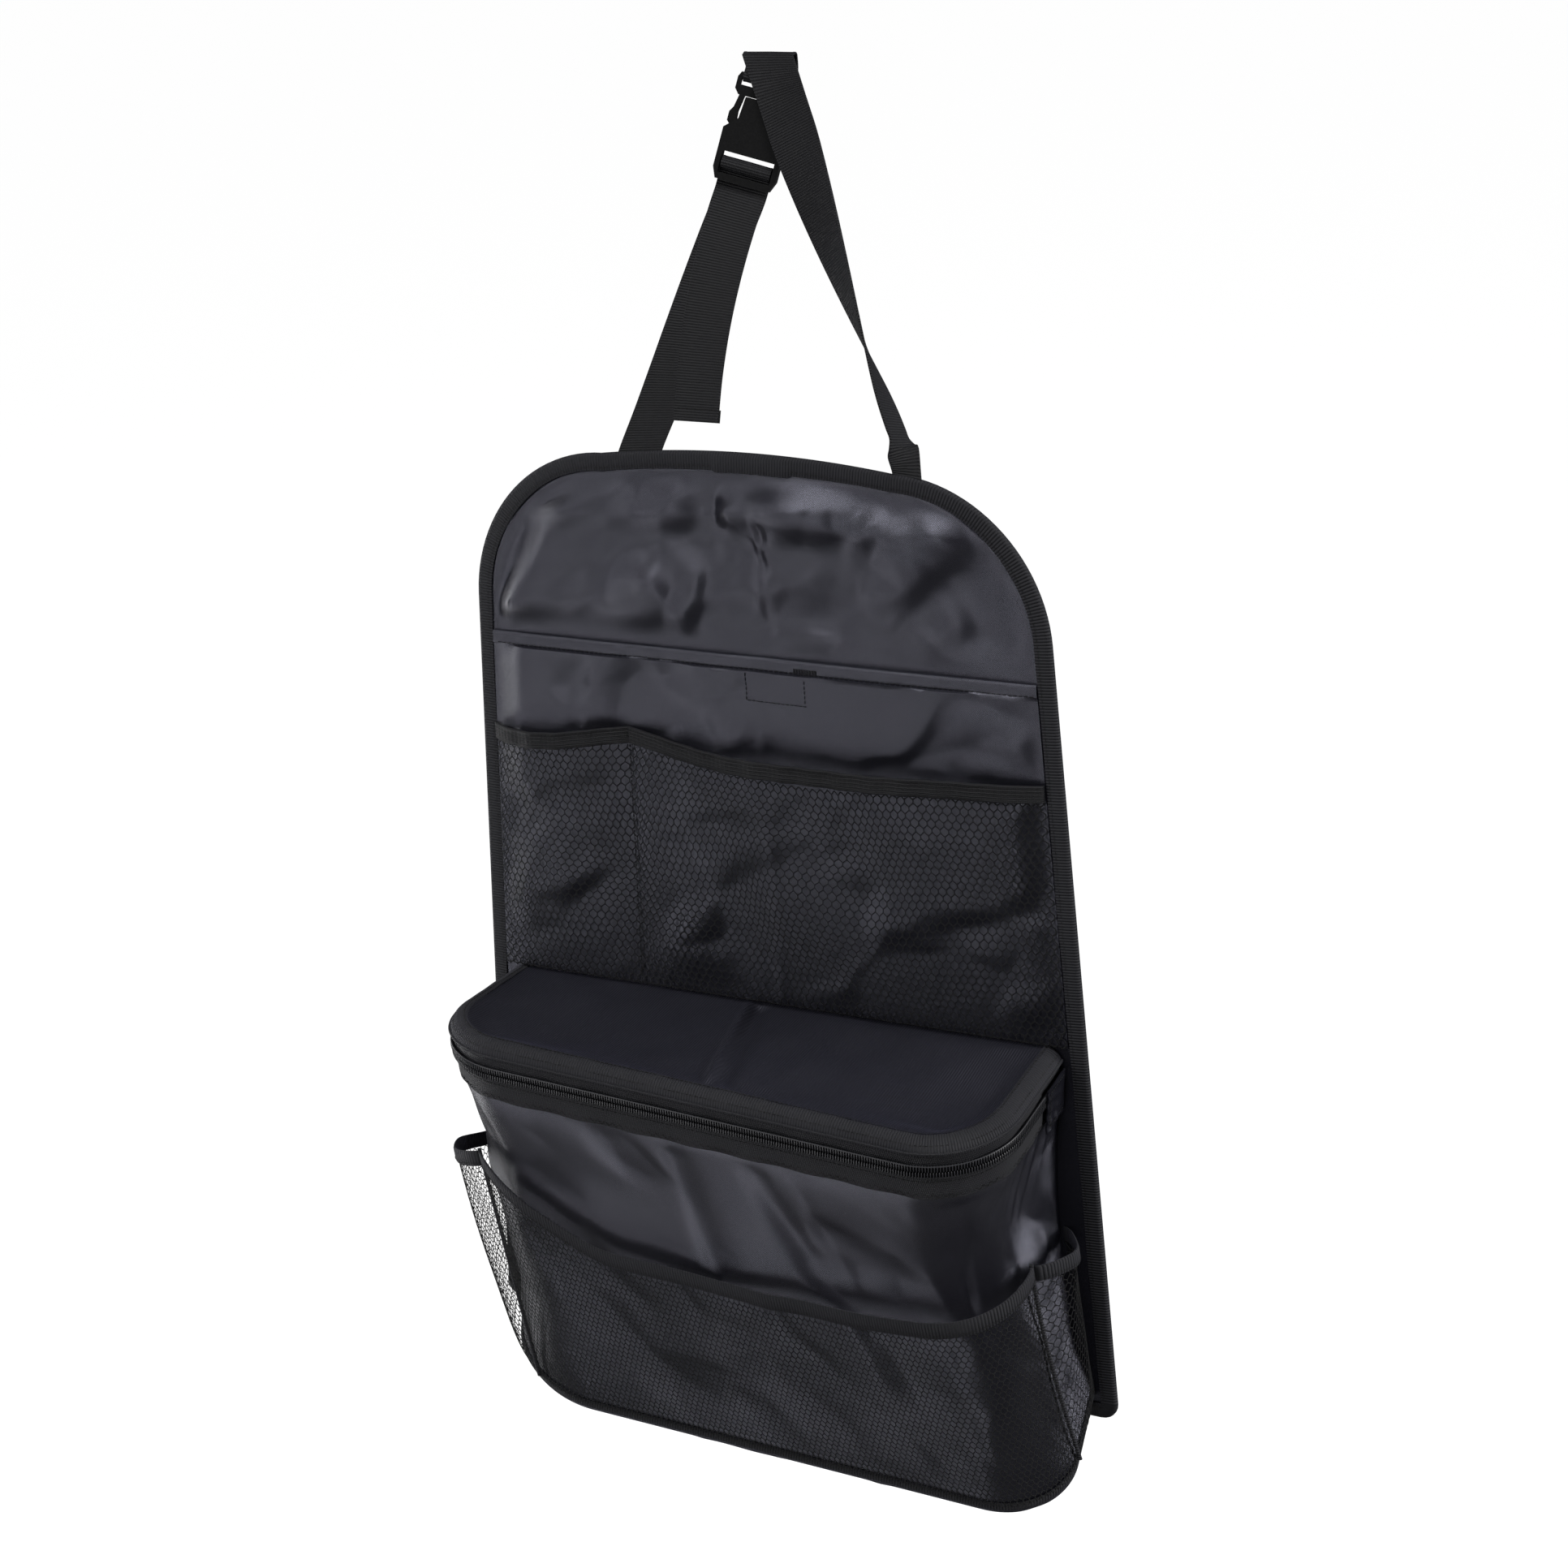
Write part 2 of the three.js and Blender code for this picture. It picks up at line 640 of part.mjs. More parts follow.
// A cloth band round the bag between two heights and two distances out.
function band(top, bottom, rows, inside, outside, from = 0, to = LAST) {
  const columns = to - from;
  const h = (i, j) => lerp(bottom(from + i), top(from + i), j / rows);
  const face = (out) => (i, j) => wallPoint(from + i, h(i, j), out(from + i, h(i, j)));
  return sheet(columns, rows, face(outside), face(inside));
}

const level = (value) => () => value;

function lid() {
  const rows = 11;
  const columns = 18;
  const inset = LID_BAND_WIDTH + SEAM_GAP / 2;
  const radius = BAG_CORNER_RADIUS - inset;
  const rd = radius / BAG_DEPTH;
  const ru = radius / BAG_HALF_WIDTH;
  const [edgeU, edgeD] = [1 - inset / BAG_HALF_WIDTH, 1 - inset / BAG_DEPTH];
  const depths = [...range(6).map((i) => ((edgeD - rd) * i) / 6), ...range(6).map((i) => {
    return edgeD - rd + rd * Math.sin((Math.PI / 2) * (i / 5));
  })];
  const place = (i, j, down) => {
    const d = depths[j];
    const past = clamp((d - edgeD + rd) / rd, 0, 1);
    const span = edgeU - ru + ru * Math.sqrt(Math.max(0, 1 - past * past));
    const u = span * lerp(-1, 1, i / columns);
    const p = bagPoint(u, d, 0);
    const dish = LID_DISH * Math.sin(Math.PI * clamp(d / edgeD, 0, 1)) * (1 - (u / edgeU) ** 2);
    return p.setZ(p.z - dish - down);
  };
  return sheet(columns, rows, (i, j) => place(i, j, 0), (i, j) => place(i, j, LID_THICKNESS));
}

function lidBinding() {
  const t = LID_BAND_THICKNESS;
  const [wide, lip, drop] = [LID_BAND_WIDTH, LID_BAND_LIP, LID_BAND_DROP];
  const profile = [
    [-wide, -0.6], [-wide * 0.45, drop * 0.2], [-1.2, drop * 0.55], [0, drop], [0, lip],
    [-t, lip], [-t, drop + 0.5], [-1.2 - t, drop * 0.55 + t],
    [-wide * 0.45, drop * 0.2 + t], [-wide, t - 0.6],
  ];
  return sweep(profile, LAST + 1, (k, out, down) => wallPoint(k, down, out));
}

// Heights below the lid of the zip's parts.
const upperTapeTop = LID_BAND_LIP + CLEARANCE;
const upperTapeBottom = upperTapeTop + UPPER_TAPE_HEIGHT;
const upperCoilTop = upperTapeBottom + CLEARANCE;
const zipCentre = upperCoilTop + COIL_HEIGHT + ZIP_GAP / 2;
const lowerCoilTop = zipCentre + ZIP_GAP / 2;
const lowerTapeTop = lowerCoilTop + COIL_HEIGHT + CLEARANCE;
const lowerTapeBottom = lowerTapeTop + LOWER_TAPE_HEIGHT;
const wallTop = lowerTapeBottom - WALL_UNDER_TAPE;
const wallBottom = BAG_HEIGHT - 1.5 * SEAM_GAP;
const tapeBack = -TAPE_THICKNESS;

function zipTape(top, bottom) {
  return band(level(top), level(bottom), 1, level(tapeBack), level(0));
}

function zipCoil(top) {
  const [h, t] = [COIL_HEIGHT, COIL_THICKNESS];
  const back = tapeBack;
  const profile = [
    [back, 0.5], [back, h - 0.5], [back + 0.5, h], [back + t - 0.7, h],
    [back + t, h - 0.8], [back + t, 0.8], [back + t - 0.7, 0], [back + 0.5, 0],
  ];
  return sweep(profile, LAST + 1, (k, out, down) => wallPoint(k, top + down, out));
}

// The zip's slider: two plates joined by a neck that runs between the coils,
// with a hoop for the pull. Drawn with X out from the bag and Y along the zip.
const coilFront = tapeBack + COIL_THICKNESS;
const sliderOuter = coilFront + CLEARANCE;
const hoopBase = sliderOuter + SLIDER_PLATE;
const pullBack = hoopBase + CLEARANCE;
const sliderAt = (bagBack - SLIDER_Y) / BAG_DEPTH;
const sliderOrigin = bagPoint(-1, sliderAt, zipCentre);
const sliderAlong = bagPoint(-1, sliderAt + 0.1, zipCentre).sub(sliderOrigin).normalize();
const sliderUp = bagPoint(-1, sliderAt, zipCentre - 9).sub(sliderOrigin).normalize();
const sliderOut = sliderAlong.clone().cross(sliderUp).normalize();

function onZip(geometry) {
  const up = sliderOut.clone().cross(sliderAlong);
  const basis = new THREE.Matrix4().makeBasis(sliderOut, sliderAlong, up).setPosition(sliderOrigin);
  return geometry.applyMatrix4(basis);
}

function zipSlider() {
  const tall = 2 * (COIL_HEIGHT + SLIDER_WING) + ZIP_GAP;
  const neck = ZIP_GAP - 2 * CLEARANCE;
  const innerPlate = tapeBack - CLEARANCE - SLIDER_PLATE / 2;
  const through = sliderOuter - innerPlate;
  const outline = [
    [-SLIDER_LENGTH / 2, tall * 0.36], [-SLIDER_LENGTH / 2, -tall * 0.36], [-1, -tall / 2], [3, -tall / 2],
    [SLIDER_LENGTH / 2, -tall * 0.3], [SLIDER_LENGTH / 2, tall * 0.3], [3, tall / 2], [-1, tall / 2],
  ];
  const plate = (x) => prism(outline, SLIDER_PLATE, 0)
    .rotateX(Math.PI / 2).rotateZ(Math.PI / 2).translate(x, 0, 0);
  const leg = (side) => new THREE.CylinderGeometry(HOOP_WIRE, HOOP_WIRE, HOOP_RISE, 10)
    .rotateZ(Math.PI / 2).translate(hoopBase + HOOP_RISE / 2 - 0.3, (side * HOOP_SPAN) / 2, 0);
  const wire = 2 * HOOP_WIRE;
  const crown = block(wire, HOOP_SPAN + wire, wire, hoopBase + HOOP_RISE, 0, 0);
  const body = joined([
    plate(sliderOuter),
    plate(innerPlate - SLIDER_PLATE / 2),
    block(through, 4, neck, innerPlate + through / 2, 1, 0),
    leg(-1), leg(1), crown,
  ]);
  return onZip(fromManifold(body));
}

// The pull hangs with its eye round the hoop's rear leg.
function zipPull() {
  const ring = PULL_EYE + 1.4;
  const half = PULL_WIDTH / 2;
  const body = joined([
    new THREE.CylinderGeometry(ring, ring, PULL_THICKNESS, 20).rotateX(Math.PI / 2),
    prism([
      [-1.6, 0], [-half, -7], [-half, -PULL_LENGTH + 2], [-half + 2, -PULL_LENGTH],
      [half - 2, -PULL_LENGTH], [half, -PULL_LENGTH + 2], [half, -7], [1.6, 0],
    ], PULL_THICKNESS, -PULL_THICKNESS / 2),
  ]);
  const eye = new THREE.CylinderGeometry(PULL_EYE, PULL_EYE, 4, 20).rotateX(Math.PI / 2);
  const window = block(2.6, 7, 4, 0, -14, 0);
  const pull = fromManifold(cut(body, [eye, window]))
    .rotateX(Math.PI / 2)
    .rotateZ(Math.PI / 2)
    .translate(pullBack + PULL_THICKNESS / 2, -HOOP_SPAN / 2, 0);
  return onZip(pull);
}

// The cloth tab that covers the zip's closed end on the right.
function zipEndTab() {
  const side = BAG_DEPTH - BAG_CORNER_RADIUS;
  const columns = 3;
  const rows = 4;
  const start = 0.3;
  const reach = start + (TAB_WIDTH / side) * SIDE_STEPS;
  const lift = coilFront + CLEARANCE;
  const h = (j) => lerp(LID_BAND_LIP + 2 + TAB_HEIGHT, LID_BAND_LIP + 2, j / rows);
  const face = (extra) => (i, j) => {
    return wallPoint(LAST - lerp(start, reach, i / columns), h(j), lift + extra);
  };
  return sheet(columns, rows, face(TAB_THICKNESS), face(0));
}

// How far the soft wall stands out: broad folds that fade at its edges.
function wallFolds(k, h) {
  const [u, d] = outlineAt(k);
  const fade = smooth((h - lowerTapeBottom - 4) / 40)
    * smooth((wallBottom - h) / 60)
    * smooth(d / 0.3);
  const fold = Math.sin(5.2 * u + 0.02 * h) + 0.5 * Math.sin(11 * u - 1 + 0.03 * h);
  return -WALL_FOLD * (0.75 - 0.5 * fold) * fade;
}

const wallFront = -TAPE_THICKNESS - CLEARANCE;

function bagWall() {
  const outside = (k, h) => wallFront + wallFolds(k, h);
  const inside = (k, h) => outside(k, h) - WALL_THICKNESS;
  return band(level(wallTop), level(wallBottom), 10, inside, outside);
}

function bagBottom() {
  const rows = 10;
  const columns = 16;
  const rd = BAG_CORNER_RADIUS / BAG_DEPTH;
  const ru = BAG_CORNER_RADIUS / BAG_HALF_WIDTH;
  const depths = [...range(5).map((i) => ((1 - rd) * i) / 5), ...range(6).map((i) => {
    return 1 - rd + rd * Math.sin((Math.PI / 2) * (i / 5));
  })];
  const place = (i, j, down) => {
    const past = clamp((depths[j] - 1 + rd) / rd, 0, 1);
    const span = 1 - ru + ru * Math.sqrt(Math.max(0, 1 - past * past));
    const shrink = down > 0 ? 0.985 : 1;
    const p = bagPoint(span * lerp(-1, 1, i / columns) * shrink, depths[j] * shrink, BAG_HEIGHT);
    return p.setZ(p.z - down);
  };
  return sheet(columns, rows, (i, j) => place(i, j, 0), (i, j) => place(i, j, BOTTOM_THICKNESS));
}

// Net pockets on the bag: the front one ends in the middle of the left corner
// and goes all the way round the right one.
const leftSeam = SIDE_STEPS + ARC_STEPS / 2;
const rightSeam = LAST - SIDE_STEPS;
const netBack = 0.7;
const netBottom = wallBottom - 1;

function frontRim(k) {
  const t = clamp((k - leftSeam) / (rightSeam - leftSeam), 0, 1);
  return FRONT_RIM_END + FRONT_RIM_SAG * (1 - Math.abs(2 * t - 1) ** 2.6);
}

function frontOut(k, h) {
  const t = clamp((k - leftSeam) / (rightSeam - leftSeam), 0, 1);
  const down = clamp((h - frontRim(k)) / (netBottom - frontRim(k)), 0, 1);
  const crease = 2.5 * Math.exp(-(((t - 0.5) / 0.03) ** 2));
  const full = FRONT_NET_BULGE * Math.sin(Math.PI * t) ** 0.6 + crease;
  return netBack + full * Math.sin(Math.PI * (0.3 + 0.69 * down));
}

// Share of the way along a side net, from the panel to its front seam.
function sideShare(k) {
  return clamp(k < LAST / 2 ? k / leftSeam : (LAST - k) / (LAST - rightSeam), 0, 1);
}

function sideRim(k) {
  return FRONT_RIM_END + SIDE_RIM_SLOPE * (1 - sideShare(k));
}

function sideOut(gape) {
  return (k, h) => {
    const t = sideShare(k);
    const down = clamp((h - sideRim(k)) / (netBottom - sideRim(k)), 0, 1);
    return netBack + gape * Math.sin(Math.PI * t) ** 0.7 * (1 - down) ** 0.6;
  };
}

function pocketNet(from, to, rimAt, outAt, tiles) {
  const height = netBottom - rimAt((from + to) / 2);
  const size = { width: runLength(from, to), height, border: NET_BORDER, ...tiles };
  return netting(size, (s, t, layer) => {
    const k = lerp(from, to, s);
    const h = lerp(netBottom, rimAt(k) + NET_RIM_HEIGHT + NET_SEAM, t);
    return wallPoint(k, h, outAt(k, h) + layer * NET_THICKNESS);
  });
}

function runLength(from, to) {
  const steps = 24;
  const points = range(steps + 1).map((i) => wallPoint(lerp(from, to, i / steps), 140, 0));
  return points.slice(1).reduce((sum, p, i) => sum + p.distanceTo(points[i]), 0);
}

function pocketRim(from, to, rimAt, outAt) {
  const stations = Math.round((to - from) * 1.5) + 1;
  const [high, thick] = [NET_RIM_HEIGHT, NET_RIM_THICKNESS];
  const profile = [[0, 0], [0, high], [thick - 0.4, high], [thick, high - 1], [thick, 1], [thick - 0.4, 0]];
  return sweep(profile, stations, (i, out, down) => {
    const k = lerp(from, to, i / (stations - 1));
    const top = rimAt(k);
    return wallPoint(k, top + down, outAt(k, top) + out);
  });
}

// The strap's plane leans back from the panel's top to the fold.
const rootZ = panelTop;
const lean = Math.atan2(APEX_BACK, APEX_HEIGHT - rootZ);
const strapDown = new Vector3(0, -Math.sin(lean), -Math.cos(lean));
const strapFront = new Vector3(0, -Math.cos(lean), Math.sin(lean));
const strapRun = (APEX_HEIGHT - rootZ) / Math.cos(lean);
const apex = new Vector3(0, APEX_BACK, APEX_HEIGHT);

function strapPoint(x, down, front) {
  return apex.clone()
    .addScaledVector(strapDown, down)
    .addScaledVector(strapFront, front)
    .add(new Vector3(x, 0, 0));
}

// Webbing swept through frames of { p, across, face }, each a centre point,
// the direction of its width and the direction of its thickness.
function webbing(frames) {
  const [w, t] = [WEB_WIDTH / 2, WEB_THICKNESS / 2];
  const profile = [[-w, -t], [w, -t], [w, t], [-w, t]];
  return sweep(profile, frames.length, (k, a, b) => {
    const { p, across, face } = frames[k];
    return p.clone().addScaledVector(across, a).addScaledVector(face, b);
  });
}

function outerTopAt(x) {
  const nominal = clamp(x, -cornerHalf, cornerHalf);
  return innerTopAt(nominal) + BINDING_WIDTH;
}

const longSlope = LONG_ROOT_X / strapRun;
const shortSlope = -SHORT_ROOT_X / strapRun;

// The sewn end of a strap, standing on the binding's top edge.
function strapRoot(x, facing) {
  const along = new Vector3(1, 0, (outerTopAt(x + 1) - outerTopAt(x - 1)) / 2);
  return {
    p: new Vector3(x, ROOT_Y, outerTopAt(x) + CLEARANCE),
    across: along.multiplyScalar(facing),
    face: new Vector3(0, -facing, 0),
  };
}

// The directions of the webbing's width and thickness after a turn about its run.
function turned(wide, face, degrees) {
  const a = radians(degrees);
  return {
    across: wide.clone().multiplyScalar(Math.cos(a)).addScaledVector(face, Math.sin(a)),
    face: face.clone().multiplyScalar(Math.cos(a)).addScaledVector(wide.clone().normalize(), -Math.sin(a)),
  };
}

// The long strap: sewn at the binding, half a turn on its way up, over the
// fold, and down to a sewn loop round the bar of the buckle's male half.
function longStrap() {
  const angle = Math.atan(longSlope);
  const flat = new Vector3(Math.cos(angle), 0, 0).addScaledVector(strapDown, -Math.sin(angle));
  const square = new Vector3(1 / Math.cos(angle), 0, 0);
  const root = strapRoot(LONG_ROOT_X, -1);
  const steps = 32;
  const rise = range(steps).map((i) => {
    const above = (strapRun - 3) * ((i + 1) / steps) ** 1.3 + 3;
    const down = Math.max(0, strapRun - above);
    const nearRoot = 1 - smooth(above / ROOT_TWIST_LENGTH);
    const free = TWIST_PER_MM * Math.max(0, down - TWIST_START);
    const turn = lerp(free, 180, nearRoot);
    const wide = square.clone().lerp(flat, smooth(down / 30));
    const bow = LONG_BOW * Math.sin(Math.PI * clamp(down / strapRun, 0, 1));
    const front = FOLD_RADIUS * (1 - down / strapRun) + bow - ROOT_Y * nearRoot;
    return { p: strapPoint(longSlope * down, down, front), ...turned(wide, strapFront, turn) };
  });
  const over = range(7).map((i) => {
    const a = Math.PI * ((i + 1) / 8);
    const out = strapFront.clone().multiplyScalar(Math.cos(a)).addScaledVector(strapDown, -Math.sin(a));
    return { p: apex.clone().addScaledVector(out, FOLD_RADIUS), across: square.clone(), face: out };
  });
  return webbing([root, ...rise, ...over, ...maleLoop(square)]);
}

// The buckle's own directions: a across, b down the strap, c to the front.
const tilt = radians(BUCKLE_TILT);
const sideways = new Vector3(Math.cos(tilt), 0, 0).addScaledVector(strapDown, Math.sin(tilt));
const buckleDown = new Vector3(-Math.sin(tilt), 0, 0).addScaledVector(strapDown, Math.cos(tilt));
const { across: buckleAcross, face: buckleFront } = turned(sideways, strapFront, -BUCKLE_TURN);
const buckleOrigin = strapPoint(-BUCKLE_TOP * shortSlope, BUCKLE_TOP, -BUCKLE_SETBACK);

function bucklePoint(a, b, c) {
  return buckleOrigin.clone().addScaledVector(buckleAcross, a).addScaledVector(buckleDown, b)
    .addScaledVector(buckleFront, c);
}

// A body drawn in the buckle's directions, set in its place on the strap.
function onStrap(body) {
  const mesh = body.getMesh();
  const solid = new Solid();
  const at = (i) => bucklePoint(...mesh.vertProperties.slice(3 * i, 3 * i + 3));
  for (let i = 0; i < mesh.triVerts.length; i += 3) {
    solid.face(at(mesh.triVerts[i]), at(mesh.triVerts[i + 1]), at(mesh.triVerts[i + 2]));
  }
  return solid.geometry();
}

// A webbing frame in the buckle: place along b and c, and the turn of its face.
function buckleFrame(b, c, degrees) {
  const a = radians(degrees);
  const face = buckleDown.clone().multiplyScalar(Math.sin(a)).addScaledVector(buckleFront, Math.cos(a));
  return { p: bucklePoint(0, b, c), across: buckleAcross.clone(), face };
}

// Places of the bars in the buckle, b down from the top of the male half.
const barC = BUCKLE_THICKNESS / 2 - 1;
const maleBarB = MALE_BAR / 2;
const shellTop = MALE_PLATE + CLEARANCE;
const ladderTop = shellTop + SHELL_NECK + SHELL_BODY;
const midBarB = ladderTop + LADDER_SLOT + LADDER_BAR / 2;
const endBarB = midBarB + LADDER_BAR / 2 + LADDER_SLOT + LADDER_END_BAR / 2;
const buckleEnd = endBarB + LADDER_END_BAR / 2;
const wrapRadius = Math.hypot(MALE_BAR, MALE_BAR) / 2 + CLEARANCE + WEB_THICKNESS / 2;
const endBarBack = barC + 0.8;
const tailC = endBarBack - CLEARANCE - WEB_THICKNESS / 2 - 0.15;

function maleLoop(square) {
  const rear = barC - wrapRadius;
  const approach = {
    p: strapPoint(-1.2, 4, lerp(-FOLD_RADIUS, rear - BUCKLE_SETBACK, 0.55)),
    across: square.clone().lerp(buckleAcross, 0.5),
    face: strapFront.clone().negate(),
  };
  const round = range(7).map((i) => {
    const a = Math.PI * (i / 6);
    const [b, c] = [maleBarB + wrapRadius * Math.sin(a), barC - wrapRadius * Math.cos(a)];
    return buckleFrame(b, c, 180 - (180 * i) / 6);
  });
  return [approach, buckleFrame(-1.6, rear, 180), ...round, buckleFrame(-3, barC + wrapRadius - 0.2, 0)];
}

// The short strap: sewn at the binding, up behind both ladder bars, over the
// middle bar, back down behind the end bar, and on as the hanging tail.
function shortStrap() {
  const root = strapRoot(SHORT_ROOT_X, 1);
  const low = bucklePoint(0, buckleEnd + 6, barC - wrapRadius);
  const rise = range(6).map((i) => {
    const t = (i + 1) / 6;
    return {
      p: root.p.clone().lerp(low, t),
      across: root.across.clone().lerp(buckleAcross, smooth(t)).normalize(),
      face: strapFront.clone().lerp(buckleFront, smooth(t)).normalize(),
    };
  });
  const over = range(6).map((i) => {
    const a = Math.PI * (i / 5) * 0.75;
    const [b, c] = [midBarB - wrapRadius * Math.sin(a), barC - wrapRadius * Math.cos(a)];
    return buckleFrame(b, c, (a * 180) / Math.PI);
  });
  const through = [
    [0, barC + wrapRadius, 180], [2.17, barC + 2.2, 222], [4, barC + 0.6, 212], [6.1, tailC, 192],
    [endBarB - midBarB, tailC, 180], [buckleEnd - midBarB + 3, tailC + 0.3, 178],
  ];
  const threaded = through.map(([b, c, turn]) => buckleFrame(midBarB + b, c, turn));
  return webbing([root, ...rise, ...over, ...threaded, ...strapTail()]);
}

function strapTail() {
  const exit = bucklePoint(0, buckleEnd + 5, tailC + 0.6);
  const endDown = strapRun - (TAIL_END_HEIGHT - rootZ) / Math.cos(lean);
  const end = strapPoint(TAIL_END_X, endDown, TAIL_FORWARD);
  const curve = new THREE.CubicBezierCurve3(
    exit,
    exit.clone().addScaledVector(buckleDown, 24).addScaledVector(strapFront, 4),
    end.clone().addScaledVector(strapDown, -60),
    end,
  );
  return range(9).map((i) => {
    const t = i / 8;
    return {
      p: curve.getPoint(t),
      across: buckleAcross.clone().lerp(new Vector3(1, 0, 0), smooth(t)).normalize(),
      face: buckleFront.clone().lerp(strapFront, smooth(t)).normalize().negate(),
    };
  });
}

// Male half: a slotted bar plate, a centre guide and two sprung prongs.
function buckleMale() {
  const half = BUCKLE_WIDTH / 2;
  const base = barC - MALE_BAR / 2;
  const [top, tip] = [MALE_PLATE, MALE_PLATE + PRONG_LENGTH];
  const plate = prism([
    [-half + 2, 0], [half - 2, 0], [half - 0.5, 3], [half - 0.5, top - 3], [half - 3, top],
    [-half + 3, top], [-half + 0.5, top - 3], [-half + 0.5, 3],
  ], MALE_BAR, base);
  const slot = block(MALE_SLOT_WIDTH, MALE_SLOT, 20, 0, MALE_BAR + MALE_SLOT / 2, 0);
  const guide = block(5, PRONG_LENGTH, MALE_BAR - 0.6, 0, MALE_PLATE + PRONG_LENGTH / 2 - 1, barC);
  const prong = (side) => prism([
    [11, top - 1], [11 + PRONG_WIDTH * 0.7, top - 1], [half - 2.4, top + 7], [half - 0.6, top + 10],
    [half - 0.6, tip - 3], [half - 3.6, tip], [half - 6, tip], [half - 5.4, top + 9],
  ].map(([a, b]) => [side * a, b]), MALE_BAR, base);
  const body = cut(joined([plate, guide, prong(-1), prong(1)]), [slot]);
  return onStrap(body);
}

// Female half: a hollow shell with open sides for the prongs, then the ladder.
function buckleFemale() {
  const half = BUCKLE_WIDTH / 2;
  const [low, high] = [barC - BUCKLE_THICKNESS / 2, barC + BUCKLE_THICKNESS / 2];
  const neck = SHELL_NECK_WIDTH / 2;
  const bodyTop = shellTop + SHELL_NECK;
  const shell = prism([
    [-neck, shellTop], [neck, shellTop], [neck + 1, bodyTop - 5], [half, bodyTop + 1.5],
    [half, buckleEnd - 6], [half - 2.5, buckleEnd], [-half + 2.5, buckleEnd], [-half, buckleEnd - 6],
    [-half, bodyTop + 1.5], [-neck - 1, bodyTop - 5],
  ], high - low, low);
  const room = MALE_BAR + 2 * CLEARANCE;
  const wide = LADDER_SLOT_WIDTH;
  const halfBar = LADDER_BAR / 2;
  const cavityB = shellTop + PRONG_LENGTH / 2 - 0.4;
  const cavity = block(BUCKLE_WIDTH + 4, PRONG_LENGTH + 1.2, room, 0, cavityB, barC);
  const slotOne = block(wide, LADDER_SLOT, 30, 0, ladderTop + LADDER_SLOT / 2, 0);
  const slotTwo = block(wide, LADDER_SLOT, 30, 0, midBarB + halfBar + LADDER_SLOT / 2, 0);
  const trough = block(wide, 60, 20, 0, ladderTop + 30, barC - halfBar - 10);
  const under = block(wide, 60, 20, 0, midBarB + LADDER_BAR + 30, endBarBack - 10);
  const crest = block(wide, LADDER_BAR + 0.1, 20, 0, midBarB, barC + halfBar + 10);
  const body = cut(toManifold(shell), [cavity, slotOne, slotTwo, trough, under, crest]);
  return onStrap(body);
}

function named(name, geometry, finish) {
  const [color, roughness] = PALETTE[finish];
  const material = new THREE.MeshStandardMaterial({
    color,
    roughness,
    metalness: finish === "metal" ? 0.9 : 0,
  });
  material.name = finish;
  geometry.deleteAttribute("uv");
  geometry.computeVertexNormals();
  const mesh = new THREE.Mesh(geometry, material);
  mesh.name = name;
  return mesh;
}

function organizer() {
  const group = new THREE.Group();
  const [front, left, right] = [
    [leftSeam + 0.05, rightSeam - 0.05, frontRim, frontOut],
    [0, leftSeam - 0.05, sideRim, sideOut(LEFT_GAPE)],
    [rightSeam + 0.05, LAST, sideRim, sideOut(RIGHT_GAPE)],
  ];
  group.add(
    named("back_panel", backPanel(), "shell_cloth"),
    named("panel_binding", panelBinding(), "binding"),
    named("slip_pocket", slipPocket(), "shell_cloth"),
    named("upper_net", upperNet(), "net"),
    named("upper_net_elastic", upperNetElastic(), "elastic"),
    named("lid", lid(), "lining_cloth"),
    named("lid_binding", lidBinding(), "binding"),
    named("zip_tape_upper", zipTape(upperTapeTop, upperTapeBottom), "zip"),
    named("zip_coil_upper", zipCoil(upperCoilTop), "zip"),
    named("zip_coil_lower", zipCoil(lowerCoilTop), "zip"),
    named("zip_tape_lower", zipTape(lowerTapeTop, lowerTapeBottom), "zip"),
    named("zip_slider", zipSlider(), "metal"),
    named("zip_pull", zipPull(), "metal"),
    named("zip_end_tab", zipEndTab(), "shell_cloth"),
    named("bag_wall", bagWall(), "shell_cloth"),
    named("bag_bottom", bagBottom(), "shell_cloth"),
    named("front_net", pocketNet(...front, FRONT_TILES), "net"),
    named("front_net_rim", pocketRim(...front), "binding"),
    named("left_net", pocketNet(...left, SIDE_TILES), "net"),
    named("left_net_rim", pocketRim(...left), "binding"),
    named("right_net", pocketNet(...right, SIDE_TILES), "net"),
    named("right_net_rim", pocketRim(...right), "binding"),
    named("long_strap", longStrap(), "webbing"),
    named("short_strap", shortStrap(), "webbing"),
    named("buckle_male", buckleMale(), "plastic"),
    named("buckle_female", buckleFemale(), "plastic"),
  );
  return group;
}

export default organizer();
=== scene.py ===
"""Dresses the car seat back organizer: cloth, nets, zip, webbing and buckle."""

import logging
import math
from dataclasses import dataclass, field
from enum import Enum
from typing import Callable

import bmesh
import bpy
import numpy as np
from mathutils import Matrix


